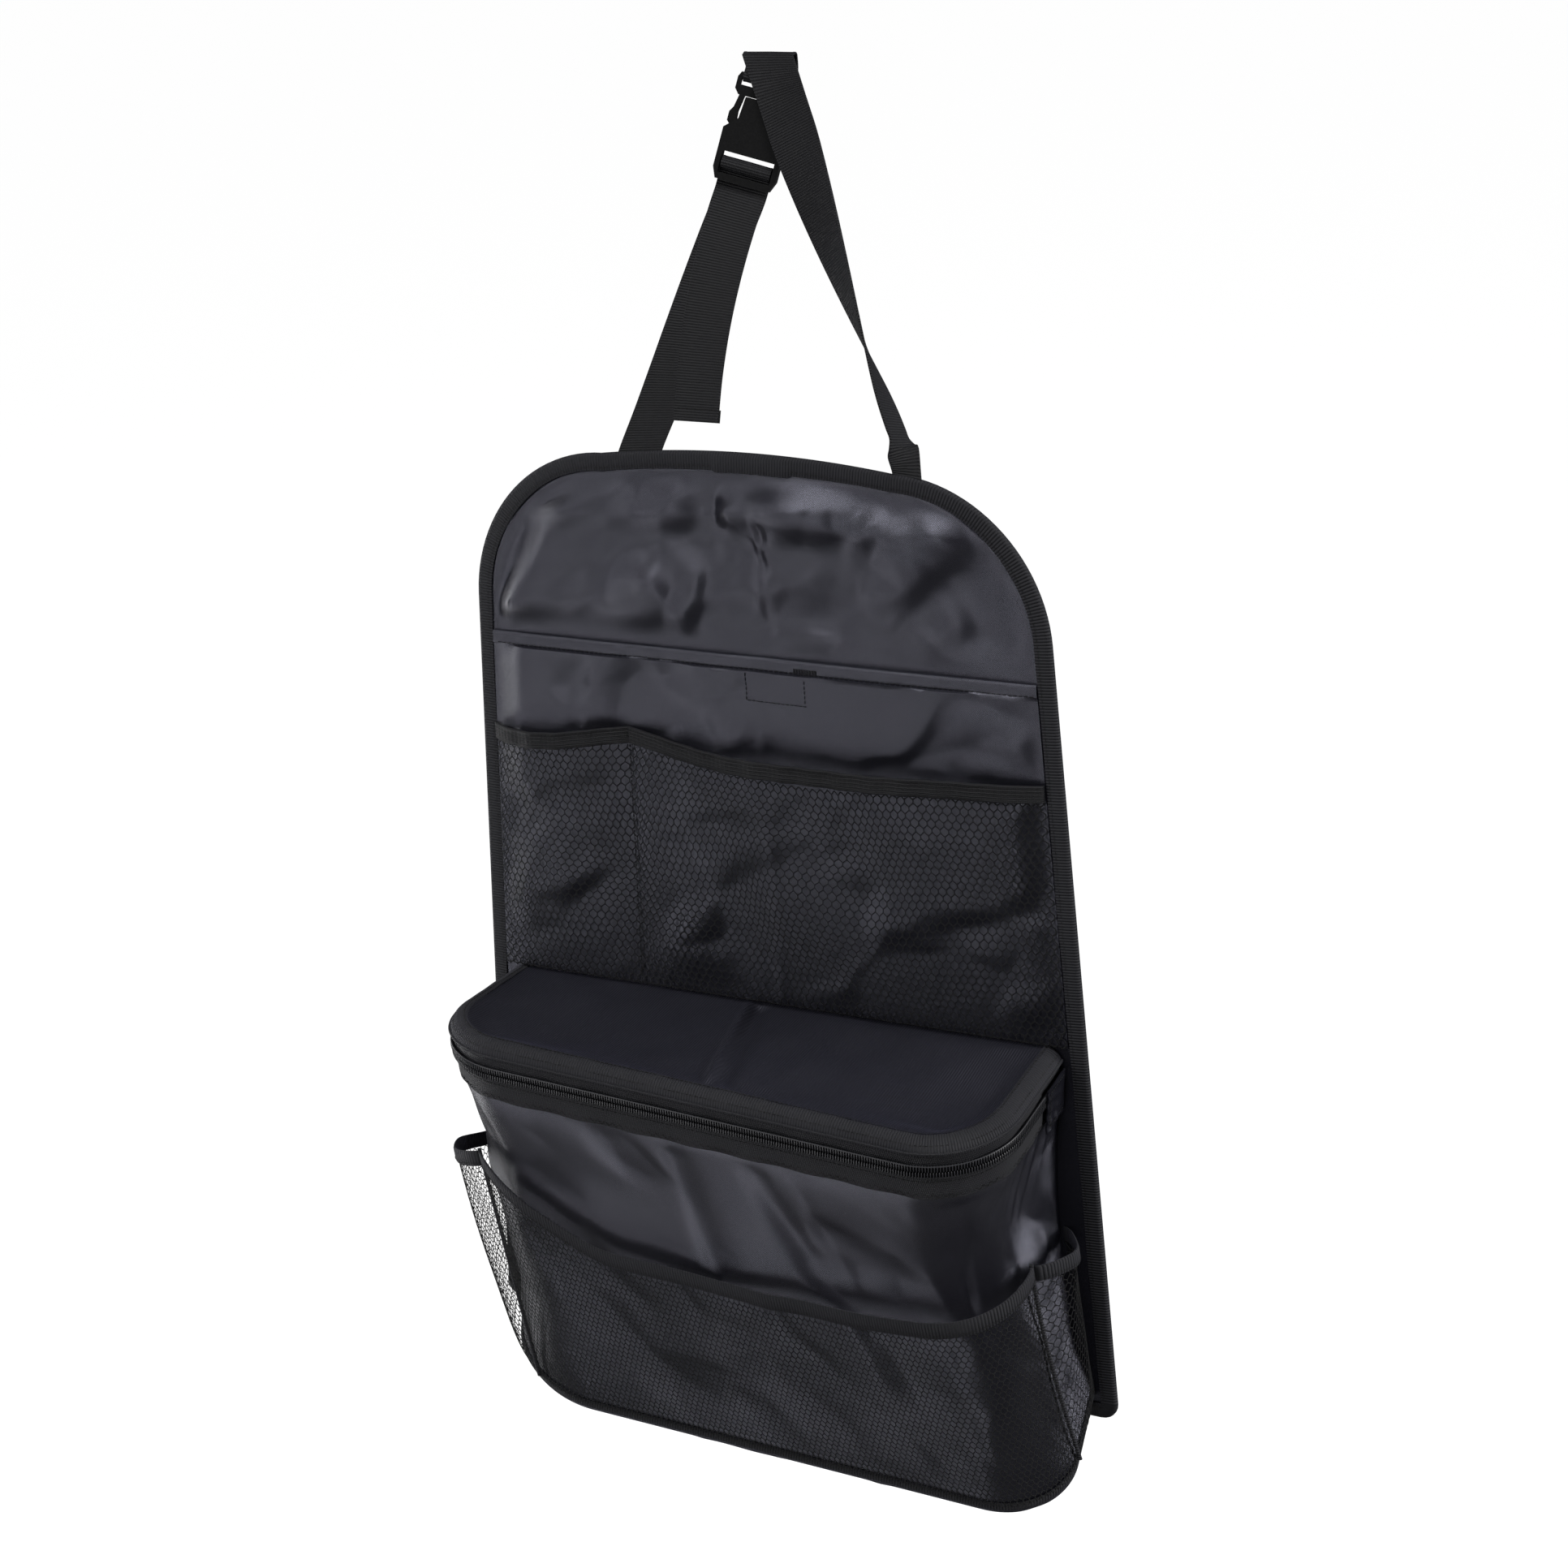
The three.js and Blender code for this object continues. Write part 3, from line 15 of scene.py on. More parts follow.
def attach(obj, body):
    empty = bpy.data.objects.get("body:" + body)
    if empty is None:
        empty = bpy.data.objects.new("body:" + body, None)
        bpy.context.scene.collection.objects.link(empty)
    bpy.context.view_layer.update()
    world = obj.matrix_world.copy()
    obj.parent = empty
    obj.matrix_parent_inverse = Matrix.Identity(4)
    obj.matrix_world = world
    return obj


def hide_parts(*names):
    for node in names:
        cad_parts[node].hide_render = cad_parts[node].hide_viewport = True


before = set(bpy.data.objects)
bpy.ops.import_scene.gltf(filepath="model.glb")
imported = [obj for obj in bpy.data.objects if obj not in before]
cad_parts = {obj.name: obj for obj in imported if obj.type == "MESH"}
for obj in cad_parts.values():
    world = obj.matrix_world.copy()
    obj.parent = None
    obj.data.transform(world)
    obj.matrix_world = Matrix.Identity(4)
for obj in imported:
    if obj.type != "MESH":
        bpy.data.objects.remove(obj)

Array = np.ndarray
Field = Callable[[Array, Array], Array]

LOG = logging.getLogger("organizer")
MM = 0.001
ROOT_BODY = "organizer"
UV_NAME = "cloth_mm"
FORWARD = (0.0, -1.0, 0.0)
UPWARD = (0.0, 0.0, 1.0)
MERGE_M = 2e-6
SHARP_DEGREES = 50.0
BAG_BACK_Y = -4.3
TAPE_FRONT_Y = -5.4


# Small maths


def smooth(t: Array | float) -> Array:
    """Eased step from 0 to 1 as t goes from 0 to 1."""
    c = np.clip(t, 0.0, 1.0)
    return c * c * (3.0 - 2.0 * c)


def lerp(a: Array | float, b: Array | float, t: Array | float) -> Array:
    """Straight mix of a and b by t."""
    return a + (b - a) * t


def unit(v: Array) -> Array:
    """The vectors in v's last axis at length one."""
    return v / np.maximum(np.linalg.norm(v, axis=-1, keepdims=True), 1e-12)


def stack(x: Array, y: Array, z: Array) -> Array:
    """Points from three arrays that broadcast together."""
    return np.stack(np.broadcast_arrays(x, y, z), axis=-1).astype(float)


def arc_length(path: Array) -> Array:
    """Distance along a polyline at each of its points."""
    steps = np.linalg.norm(np.diff(path, axis=0), axis=1)
    return np.concatenate([[0.0], np.cumsum(steps)])


def at_distance(values: Array, lengths: Array, wanted: Array) -> Array:
    """Rows of values, known at lengths, read off at the wanted lengths."""
    return np.stack([np.interp(wanted, lengths, column) for column in values.T], axis=1)


def facing(way: tuple[float, float, float], like: Array) -> Array:
    """One direction, repeated for every point of like."""
    return np.broadcast_to(way, like.shape)


def oval(corners: int, wide: float, high: float) -> Array:
    """Corners of an oval profile with the given half width and half height."""
    turn = np.linspace(0, 2 * math.pi, corners + 1)[:-1]
    return np.stack([wide * np.cos(turn), high * np.sin(turn)], axis=1)


def tangents(path: Array) -> Array:
    """Unit direction of a polyline at each point, from its neighbours."""
    return unit(np.gradient(path, axis=0))


def rounded_path(values: Array, steps: int) -> Array:
    """A smooth curve through rows of values.

    Each span is a cubic whose slope at an end is half the step between the
    neighbours on either side, the usual Catmull-Rom rule.

    Args:
        values: the rows to pass through.
        steps: points made for each span.

    Returns:
        The finer rows, first and last included.
    """
    padded = np.concatenate([values[:1], values, values[-1:]])
    p0, p1, p2, p3 = padded[:-3, None], padded[1:-2, None], padded[2:-1, None], padded[3:, None]
    t = (np.arange(steps) / steps)[None, :, None]
    body = 0.5 * (
        2 * p1 + (p2 - p0) * t + (2 * p0 - 5 * p1 + 4 * p2 - p3) * t**2 + (3 * p1 - p0 - 3 * p2 + p3) * t**3
    )
    return np.concatenate([body.reshape(-1, values.shape[1]), values[-1:]])


def ridge(
    x: Array, z: Array, start: tuple, end: tuple, height: float, spread: float, right: float | None = None,
    power: float = 2.0,
) -> Array:
    """A ridge whose height falls off with a power of the distance from a line.

    Args:
        x: first coordinate over the cloth, in millimetres.
        z: second coordinate over the cloth, in millimetres.
        start: where the line begins.
        end: where it ends.
        height: height on the line.
        spread: distance over which it falls off.
        right: the same on the line's right side, where it differs.
        power: 2 for a rounded crest, nearer 1 for a sharp one.

    Returns:
        The height at each point.
    """
    dx, dz = end[0] - start[0], end[1] - start[1]
    t = np.clip(((x - start[0]) * dx + (z - start[1]) * dz) / (dx * dx + dz * dz), 0, 1)
    away = np.hypot(x - start[0] - t * dx, z - start[1] - t * dz)
    if right is not None:
        aside = (dx * (z - start[1]) - dz * (x - start[0])) / math.hypot(dx, dz)
        spread = lerp(right, spread, smooth(aside / 3 + 0.5))
    return height * np.exp(-((away / spread) ** power))


def rumple(x: Array, z: Array, seed: int, count: int, size: float, depth: float, power: float = 2.0) -> Array:
    """Random soft creases: a sum of short ridges with random place, turn and sign.

    Args:
        x: first coordinate over the cloth, in millimetres.
        z: second coordinate over the cloth, in millimetres.
        seed: picks the creases, so each run draws the same ones.
        count: how many creases there are.
        size: usual length of a crease, in millimetres.
        depth: usual height of a crease, in millimetres.
        power: 2 for rounded creases, nearer 1 for sharp ones.

    Returns:
        The height at each point.
    """
    rng = np.random.default_rng(seed)
    low = np.array([-200.0, -120.0])
    span = np.array([400.0, 400.0])
    total = np.zeros(np.broadcast(x, z).shape)
    for _ in range(count):
        centre = low + rng.random(2) * span
        turn = rng.uniform(0, math.pi)
        reach = size * rng.uniform(0.4, 1.0) / 2
        step = np.array([math.cos(turn), math.sin(turn)]) * reach
        height = depth * rng.uniform(-1.0, 1.0)
        spread = size * rng.uniform(0.05, 0.16)
        total += ridge(x, z, tuple(centre - step), tuple(centre + step), height, spread, power=power)
    return total


def crumple(x: Array, z: Array, seed: int, size: float, depth: float) -> Array:
    """Sharp folds with flatter facets between them.

    Three fields, each the absolute value of a sum of four sine waves with random
    lengths and directions, are averaged: a fold runs where a sum passes zero.

    Args:
        x: first coordinate over the cloth, in millimetres.
        z: second coordinate over the cloth, in millimetres.
        seed: picks the waves, so each run draws the same ones.
        size: usual wave length, in millimetres.
        depth: usual height of a facet above its folds.

    Returns:
        The height at each point, about zero on average.
    """
    rng = np.random.default_rng(seed)
    total = np.zeros(np.broadcast(x, z).shape)
    for sign in (1.0, -1.0, 1.0):
        wave = np.zeros_like(total)
        for _ in range(4):
            turn, phase = rng.uniform(0, math.pi), rng.uniform(0, 2 * math.pi)
            length = size * rng.uniform(0.7, 1.7)
            wave += np.sin((x * math.cos(turn) + z * math.sin(turn)) * 2 * math.pi / length + phase)
        total += sign * (np.sqrt(wave * wave + 0.015) - 1.13)
    return depth * total / 3


def settled(height: Array, low: float, high: float) -> Array:
    """Heights eased between -low and high, so that no fold is cut flat."""
    room = np.where(height < 0, low, high)
    return room * np.tanh(height / room)


def drape(x: Array, z: Array, seed: int, depth: float) -> Array:
    """Soft handling marks: wide facets, smaller ones on them, and a few short creases."""
    wide = crumple(x, z, seed, 170.0, depth)
    small = crumple(x, z, seed + 1, 66.0, depth * 0.26)
    return wide + small + rumple(x, z, seed + 2, 70, 44.0, depth * 0.14, 1.2)


# Mesh making


class PieceMesh:
    """Grids, sweeps, stitches and strands gathered into one closed mesh, in millimetres."""

    def __init__(self) -> None:
        """Starts with nothing in it."""
        self.points: list[Array] = []
        self.faces: list[list[int]] = []
        self.uvs: list[Array] = []
        self.count = 0

    def add(self, points: Array, faces: Array, uvs: Array) -> None:
        """Adds points with faces that all have the same number of corners."""
        self.points.append(points.reshape(-1, 3))
        self.faces.extend((faces + self.count).tolist())
        self.uvs.append(uvs.reshape(-1, 2))
        self.count += len(self.points[-1])

    def grid(self, points: Array, uv: Array, wrap_rows: bool = False, wrap_cols: bool = False) -> None:
        """Adds a grid of four-cornered faces.

        Args:
            points: rows by columns by 3.
            uv: rows by columns by 2, with one more row or column where it wraps.
            wrap_rows: True where the last row joins the first.
            wrap_cols: True where the last column joins the first.
        """
        rows, cols = points.shape[:2]
        i = np.arange(rows if wrap_rows else rows - 1)[:, None]
        j = np.arange(cols if wrap_cols else cols - 1)[None, :]
        near, far = (i % rows) * cols, ((i + 1) % rows) * cols
        corners = np.stack([near + j, near + (j + 1) % cols, far + (j + 1) % cols, far + j], axis=-1)
        spots = np.stack([uv[i, j], uv[i, j + 1], uv[i + 1, j + 1], uv[i + 1, j]], axis=-2)
        self.add(points, corners.reshape(-1, 4), spots)

    def shell(self, front: Array, back: Array, uv: Array) -> None:
        """Adds two facing grids and the four strips that close their edges."""
        self.grid(front, uv)
        self.grid(back, uv)
        for cut in (np.s_[0], np.s_[-1], np.s_[:, 0], np.s_[:, -1]):
            self.grid(np.stack([front[cut], back[cut]]), np.stack([uv[cut], uv[cut]]))

    def sweep(self, centres: Array, a: Array, b: Array, profile: Array, closed: bool = False) -> None:
        """Carries a closed profile along a path.

        A corner of the profile at (p, q) goes to centre + p * a + q * b at each
        station. The UV is the distance along the path and round the profile.

        Args:
            centres: path points, stations by 3.
            a: direction of the profile's first axis at each station.
            b: direction of its second axis at each station.
            profile: corners by 2, or stations by corners by 2 where it changes.
            closed: True where the path ends where it began.
        """
        shape = profile if profile.ndim == 3 else np.broadcast_to(profile, (len(centres), *profile.shape))
        points = centres[:, None] + a[:, None] * shape[..., :1] + b[:, None] * shape[..., 1:]
        loop = np.concatenate([centres, centres[:1]]) if closed else centres
        around = arc_length(np.concatenate([shape[0], shape[0][:1]]))
        u, v = np.meshgrid(arc_length(loop), around, indexing="ij")
        self.grid(points, np.stack([u, v], axis=-1), wrap_rows=closed, wrap_cols=True)
        if not closed:
            self.caps(points)

    def caps(self, points: Array) -> None:
        """Closes the two ends of a tube of rings."""
        for ring in (points[0], points[-1]):
            self.add(ring, np.arange(len(ring))[None, :], np.zeros((1, len(ring), 2)))

    def band(self, points: Array, lengths: Array, line: Array) -> None:
        """Adds a closed band: rings of points, their distances, and the profile they follow."""
        around = arc_length(np.concatenate([line, line[:1]]))
        u, v = np.meshgrid(lengths, around, indexing="ij")
        self.grid(points, np.stack([u, v], axis=-1), wrap_cols=True)
        self.caps(points)

    def prisms(self, template: Array, faces: Array, centres: Array, axes: Array) -> None:
        """Adds one small solid at many places.

        Args:
            template: corners of the solid, by 3, along, side and up.
            faces: corner numbers of its four-cornered faces.
            centres: the places, by 3.
            axes: places by 3 by 3, rows along, side and up, with their sizes.
        """
        points = centres[:, None] + np.einsum("kc,ncx->nkx", template, axes)
        starts = np.arange(len(centres)) * len(template)
        corners = (faces[None] + starts[:, None, None]).reshape(-1, faces.shape[1])
        spots = np.broadcast_to(template[faces][..., :2] * 3.0, (len(centres), *faces.shape, 2))
        self.add(points, corners, spots)

    def stitches(self, path: Array, up: Array, pitch: float = 2.9, thread: float = 0.62) -> None:
        """Adds a row of stitches along a path.

        Each is a spindle two thirds of a pitch long, lying along the path and
        standing half out of the cloth.

        Args:
            path: polyline on the cloth.
            up: outward directions along it.
            pitch: distance from stitch to stitch.
            thread: the thread's thickness.
        """
        lengths = arc_length(path)
        wanted = np.arange(pitch / 2, lengths[-1], pitch)
        if len(wanted) == 0:
            return
        centres = at_distance(path, lengths, wanted)
        along = at_distance(tangents(path), lengths, wanted)
        normal = unit(at_distance(up, lengths, wanted))
        side = unit(np.cross(normal, along))
        axes = np.stack([unit(along) * pitch * 0.4, side * thread / 2, normal * thread / 2], axis=1)
        template, faces = spindle()
        self.prisms(template, faces, centres, axes)

    def strands(self, start: Array, end: Array, normal: Array, width: float, depth: float) -> None:
        """Adds straight strands, each a closed four-sided bar from start to end."""
        along = end - start
        side = unit(np.cross(normal, along)) * width / 2
        axes = np.stack([along / 2, side, unit(normal) * depth / 2], axis=1)
        ring = np.array([[-1, 0], [0, 1], [1, 0], [0, -1]], float)
        template = np.concatenate([np.insert(ring, 0, e, axis=1) for e in (-1.0, 1.0)])
        k = np.arange(4)
        sides = np.stack([k, (k + 1) % 4, 4 + (k + 1) % 4, 4 + k], axis=1)
        faces = np.concatenate([sides, [[0, 1, 2, 3]], [[4, 5, 6, 7]]])
        self.prisms(template, faces, (start + end) / 2, axes)

    def build(self, name: str, finish: "Finish", stands_for: str | None = None) -> None:
        """Makes the object, with doubles merged, faces out and its finish on.

        Args:
            name: the piece's name.
            finish: its finish.
            stands_for: the CAD node that it replaces, if any.
        """
        mesh = bpy.data.meshes.new(name)
        mesh.from_pydata((np.concatenate(self.points) * MM).tolist(), [], self.faces)
        layer = mesh.uv_layers.new(name=UV_NAME)
        layer.data.foreach_set("uv", np.concatenate(self.uvs).astype(np.float32).ravel())
        work = bmesh.new()
        work.from_mesh(mesh)
        bmesh.ops.remove_doubles(work, verts=work.verts, dist=MERGE_M)
        bmesh.ops.recalc_face_normals(work, faces=work.faces)
        work.to_mesh(mesh)
        work.free()
        mesh.polygons.foreach_set("use_smooth", np.ones(len(mesh.polygons), bool))
        mesh.set_sharp_from_angle(angle=math.radians(SHARP_DEGREES))
        mesh.materials.append(finish.material())
        piece = bpy.data.objects.new(name, mesh)
        bpy.context.scene.collection.objects.link(piece)
        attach(piece, ROOT_BODY)
        if stands_for:
            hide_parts(stands_for)
        LOG.info("%s: %d faces", name, len(mesh.polygons))


def spindle() -> tuple[Array, Array]:
    """A six-sided spindle: four rings, thin at the ends, closed by one more ring at each tip.

    Returns:
        Its corners as along, side and up, and its faces.
    """
    turn = np.arange(6) * math.pi / 3
    rings = [(-1.0, 0.25), (-0.6, 0.95), (0.6, 0.95), (1.0, 0.25)]
    points = [stack(np.full(6, s), r * np.cos(turn), r * np.sin(turn)) for s, r in rings]
    k = np.arange(6)
    after = (k + 1) % 6
    sides = [np.stack([k, after, after + 6, k + 6], axis=1) + 6 * i for i in range(3)]
    caps = np.array([[0, 1, 2, 3], [0, 3, 4, 5], [18, 19, 20, 21], [18, 21, 22, 23]])
    return np.concatenate(points), np.concatenate([*sides, caps])


# Finishes


class Weave(Enum):
    """How a finish's threads lie."""

    TWILL = "twill"
    PLAIN = "plain"
    RIBS_ACROSS = "ribs across the tape"
    RIBS_ALONG = "ribs along the tape"
    KNIT = "knit"
    MOULDED = "moulded"
    ENAMEL = "enamel"


class ShaderSketch:
    """A node tree with short calls for the nodes used here."""

    def __init__(self, tree: bpy.types.NodeTree) -> None:
        """Works on the given tree."""
        self.tree = tree

    def node(self, kind: str, **settings: object) -> bpy.types.Node:
        """Adds a node and sets its properties."""
        node = self.tree.nodes.new(kind)
        for key, value in settings.items():
            setattr(node, key, value)
        return node

    def feed(self, socket: bpy.types.NodeSocket, value: object) -> None:
        """Links a socket, or sets a plain value."""
        if isinstance(value, bpy.types.NodeSocket):
            self.tree.links.new(value, socket)
        else:
            socket.default_value = value

    def maths(self, operation: str, *values: object) -> bpy.types.NodeSocket:
        """The result of a Math node."""
        node = self.node("ShaderNodeMath", operation=operation)
        for socket, value in zip(node.inputs, values):
            self.feed(socket, value)
        return node.outputs[0]

    def mix(self, factor: object, a: object, b: object) -> bpy.types.NodeSocket:
        """A colour mix."""
        node = self.node("ShaderNodeMix", data_type="RGBA")
        for key, value in ((0, factor), (6, a), (7, b)):
            self.feed(node.inputs[key], value)
        return node.outputs[2]


def make_group(
    name: str, inputs: dict[str, float], outputs: list[str],
) -> tuple[bpy.types.NodeTree, ShaderSketch]:
    """An empty shader group with a Vector input, number inputs and number outputs.

    Args:
        name: the group's name.
        inputs: number inputs and their defaults.
        outputs: names of the outputs.

    Returns:
        The group and a sketch that works on it.
    """
    tree = bpy.data.node_groups.new(name, "ShaderNodeTree")
    tree.interface.new_socket("Vector", in_out="INPUT", socket_type="NodeSocketVector")
    for key, value in inputs.items():
        tree.interface.new_socket(key, in_out="INPUT", socket_type="NodeSocketFloat").default_value = value
    for key in outputs:
        tree.interface.new_socket(key, in_out="OUTPUT", socket_type="NodeSocketFloat")
    return tree, ShaderSketch(tree)


def thread_group() -> bpy.types.NodeTree:
    """Threads of a weave, from a UV in millimetres.

    Warp height is |sin| of pi * (u + slant * v) / warp pitch, weft height the
    same of v over weft pitch; Height is their weighted sum.

    Returns:
        The group, built once.
    """
    name = "threads"
    if name in bpy.data.node_groups:
        return bpy.data.node_groups[name]
    fields = {"Warp Pitch": 1.0, "Weft Pitch": 1.0, "Slant": 0.0, "Warp": 1.0, "Weft": 0.5}
    tree, sketch = make_group(name, fields, ["Height"])
    source = sketch.node("NodeGroupInput").outputs
    parts = sketch.node("ShaderNodeSeparateXYZ")
    sketch.feed(parts.inputs[0], source["Vector"])
    u, v = parts.outputs[0], parts.outputs[1]
    leaning = sketch.maths("MULTIPLY_ADD", v, source["Slant"], u)

    def wave(value: object, pitch: object) -> bpy.types.NodeSocket:
        """|sin| of pi times value over pitch."""
        turns = sketch.maths("MULTIPLY", sketch.maths("DIVIDE", value, pitch), math.pi)
        return sketch.maths("ABSOLUTE", sketch.maths("SINE", turns))

    warp = sketch.maths("MULTIPLY", wave(leaning, source["Warp Pitch"]), source["Warp"])
    weft = sketch.maths("MULTIPLY", wave(v, source["Weft Pitch"]), source["Weft"])
    result = sketch.node("NodeGroupOutput")
    sketch.feed(result.inputs["Height"], sketch.maths("ADD", warp, weft))
    return tree


def tone_group() -> bpy.types.NodeTree:
    """Uneven dye and lint: broad noise and fine specks on Object coordinates.

    Returns:
        The group, built once, with Tone from 0 to 1 and fine Grain.
    """
    name = "dye_tone"
    if name in bpy.data.node_groups:
        return bpy.data.node_groups[name]
    tree, sketch = make_group(name, {"Broad": 18.0, "Fine": 900.0}, ["Tone", "Grain"])
    source = sketch.node("NodeGroupInput").outputs
    broad = sketch.node("ShaderNodeTexNoise")
    fine = sketch.node("ShaderNodeTexNoise")
    for node, key in ((broad, "Broad"), (fine, "Fine")):
        sketch.feed(node.inputs["Vector"], source["Vector"])
        sketch.feed(node.inputs["Scale"], source[key])
        node.inputs["Detail"].default_value = 3.0
    wide = sketch.maths("MULTIPLY", broad.outputs[0], 0.55)
    tone = sketch.maths("MULTIPLY_ADD", fine.outputs[0], 0.45, wide)
    result = sketch.node("NodeGroupOutput")
    sketch.feed(result.inputs["Tone"], tone)
    sketch.feed(result.inputs["Grain"], fine.outputs[0])
    return tree


def from_hex(code: str) -> tuple[float, float, float, float]:
    """A linear colour from an sRGB code such as 2a2a30."""
    values = [int(code[i : i + 2], 16) / 255 for i in (0, 2, 4)]
    return (*[v / 12.92 if v <= 0.04045 else ((v + 0.055) / 1.055) ** 2.4 for v in values], 1.0)


@dataclass(frozen=True)
class Finish:
    """One finish: its two shades, gloss, and how its threads stand."""

    name: str
    slot: str
    dark: str
    light: str
    weave: Weave
    roughness: float = 0.6
    sheen: float = 0.0
    sheen_tint: str = "ffffff"
    warp_pitch: float = 1.0
    weft_pitch: float = 1.0
    slant: float = 0.0
    warp: float = 1.0
    weft: float = 0.5
    relief: float = 0.2
    specular: float = 0.5
    gloss_tint: str = "ffffff"

    def material(self) -> bpy.types.Material:
        """The Blender material, built once."""
        if self.name in bpy.data.materials:
            return bpy.data.materials[self.name]
        material = bpy.data.materials.new(self.name)
        material.use_nodes = True
        material.node_tree.nodes.clear()
        sketch = ShaderSketch(material.node_tree)
        shader = sketch.node("ShaderNodeBsdfPrincipled")
        result = sketch.node("ShaderNodeOutputMaterial")
        sketch.feed(result.inputs["Surface"], shader.outputs[0])
        shader.inputs["Specular IOR Level"].default_value = self.specular
        shader.inputs["Specular Tint"].default_value = from_hex(self.gloss_tint)
        shader.inputs["Sheen Weight"].default_value = self.sheen
        shader.inputs["Sheen Roughness"].default_value = 0.35
        shader.inputs["Sheen Tint"].default_value = from_hex(self.sheen_tint)
        tone = sketch.node("ShaderNodeGroup", node_tree=tone_group())
        place = sketch.node("ShaderNodeTexCoord")
        sketch.feed(tone.inputs["Vector"], place.outputs["Object"])
        height = self.height(sketch, tone)
        low, high = from_hex(self.dark), from_hex(self.light)
        # Base colour: random dye tone times a factor from the relief. On cloth this is painted shade in the
        # weave's valleys and a painted highlight on the thread crowns. On plastic and enamel the relief is
        # only random grain.
        raised = sketch.maths("MULTIPLY_ADD", height, 0.6, 0.55)
        dye_and_painted_weave_shade = sketch.maths("MULTIPLY", tone.outputs["Tone"], raised)
        sketch.feed(shader.inputs["Base Color"], sketch.mix(dye_and_painted_weave_shade, low, high))
        rough = sketch.maths("MULTIPLY_ADD", tone.outputs["Grain"], 0.12, self.roughness - 0.06)
        sketch.feed(shader.inputs["Roughness"], rough)
        bump = sketch.node("ShaderNodeBump")
        bump.inputs["Distance"].default_value = self.relief * MM
        sketch.feed(bump.inputs["Height"], height)
        sketch.feed(shader.inputs["Normal"], bump.outputs[0])
        return material

    def height(self, sketch: ShaderSketch, tone: bpy.types.Node) -> bpy.types.NodeSocket:
        """The relief: threads of the weave, or grain on plastic and enamel."""
        if self.weave in (Weave.MOULDED, Weave.ENAMEL):
            return tone.outputs["Grain"]
        threads = sketch.node("ShaderNodeGroup", node_tree=thread_group())
        where = sketch.node("ShaderNodeUVMap", uv_map=UV_NAME)
        sketch.feed(threads.inputs["Vector"], where.outputs[0])
        values = (self.warp_pitch, self.weft_pitch, self.slant, self.warp, self.weft)
        for key, value in zip(("Warp Pitch", "Weft Pitch", "Slant", "Warp", "Weft"), values):
            threads.inputs[key].default_value = value
        return threads.outputs["Height"]


TWILL_CLOTH = Finish(
    "twill_cloth", "shell_cloth", "0d0d10", "1c1c23", Weave.TWILL, 0.24, 0.02, "a9a9d8",
    warp_pitch=0.85, weft_pitch=0.42, slant=0.9, warp=0.7, weft=0.3, relief=0.1, specular=0.8,
    gloss_tint="ebebff",
)
LID_CLOTH = Finish(
    "lid_cloth", "lining_cloth", "0f0f13", "202027", Weave.PLAIN, 0.42, 0.06, "a9a9d8",
    warp_pitch=1.6, weft_pitch=0.6, slant=0.0, warp=0.8, weft=0.2, relief=0.2, specular=0.65,
    gloss_tint="ebebff",
)
EDGE_TAPE = Finish(
    "edge_tape", "binding", "0f0f12", "25252b", Weave.RIBS_ACROSS, 0.7, 0.04, "c4c4ea",
    warp_pitch=1.7, weft_pitch=0.5, warp=0.9, weft=0.1, relief=0.5, specular=0.35,
)
BELT = Finish(
    "belt", "webbing", "09090b", "1a1a1e", Weave.RIBS_ACROSS, 0.6, 0.02, "c4c4ea",
    warp_pitch=1.5, weft_pitch=0.75, warp=0.85, weft=0.2, relief=0.5, specular=0.3,
)
MESH_YARN = Finish(
    "mesh_yarn", "net", "060607", "101012", Weave.KNIT, 0.6, 0.03,
    warp_pitch=0.6, weft_pitch=0.6, relief=0.1, specular=0.3,
)
ELASTIC_BAND = Finish(
    "elastic_band", "elastic", "09090b", "19191d", Weave.RIBS_ALONG, 0.65, 0.02, "c4c4ea",
    warp_pitch=0.8, weft_pitch=1.1, warp=0.4, weft=0.8, relief=0.35, specular=0.35,
)
ZIP_CLOTH = Finish(
    "zip_cloth", "zip_tape", "0d0d10", "202026", Weave.PLAIN, 0.6, 0.03, "c4c4ea",
    warp_pitch=1.1, weft_pitch=1.1, slant=0.5, warp=0.6, weft=0.5, relief=0.35, specular=0.4,
)
COIL = Finish("coil", "zip_coil", "141417", "2c2c32", Weave.MOULDED, 0.5, relief=0.03, specular=0.5)
SLIDER_ENAMEL = Finish("slider_enamel", "zip_metal", "17171a", "2b2b2f", Weave.ENAMEL, 0.25, relief=0.02)
BUCKLE_PLASTIC = Finish(
    "buckle_plastic", "buckle", "060607", "0d0d0e", Weave.MOULDED, 0.4, relief=0.04, specular=0.35,
)
THREAD = Finish(
    "thread", "binding", "060607", "101012", Weave.KNIT, 0.6, 0.03,
    warp_pitch=0.5, weft_pitch=0.5, relief=0.08, specular=0.25,
)


# Back panel


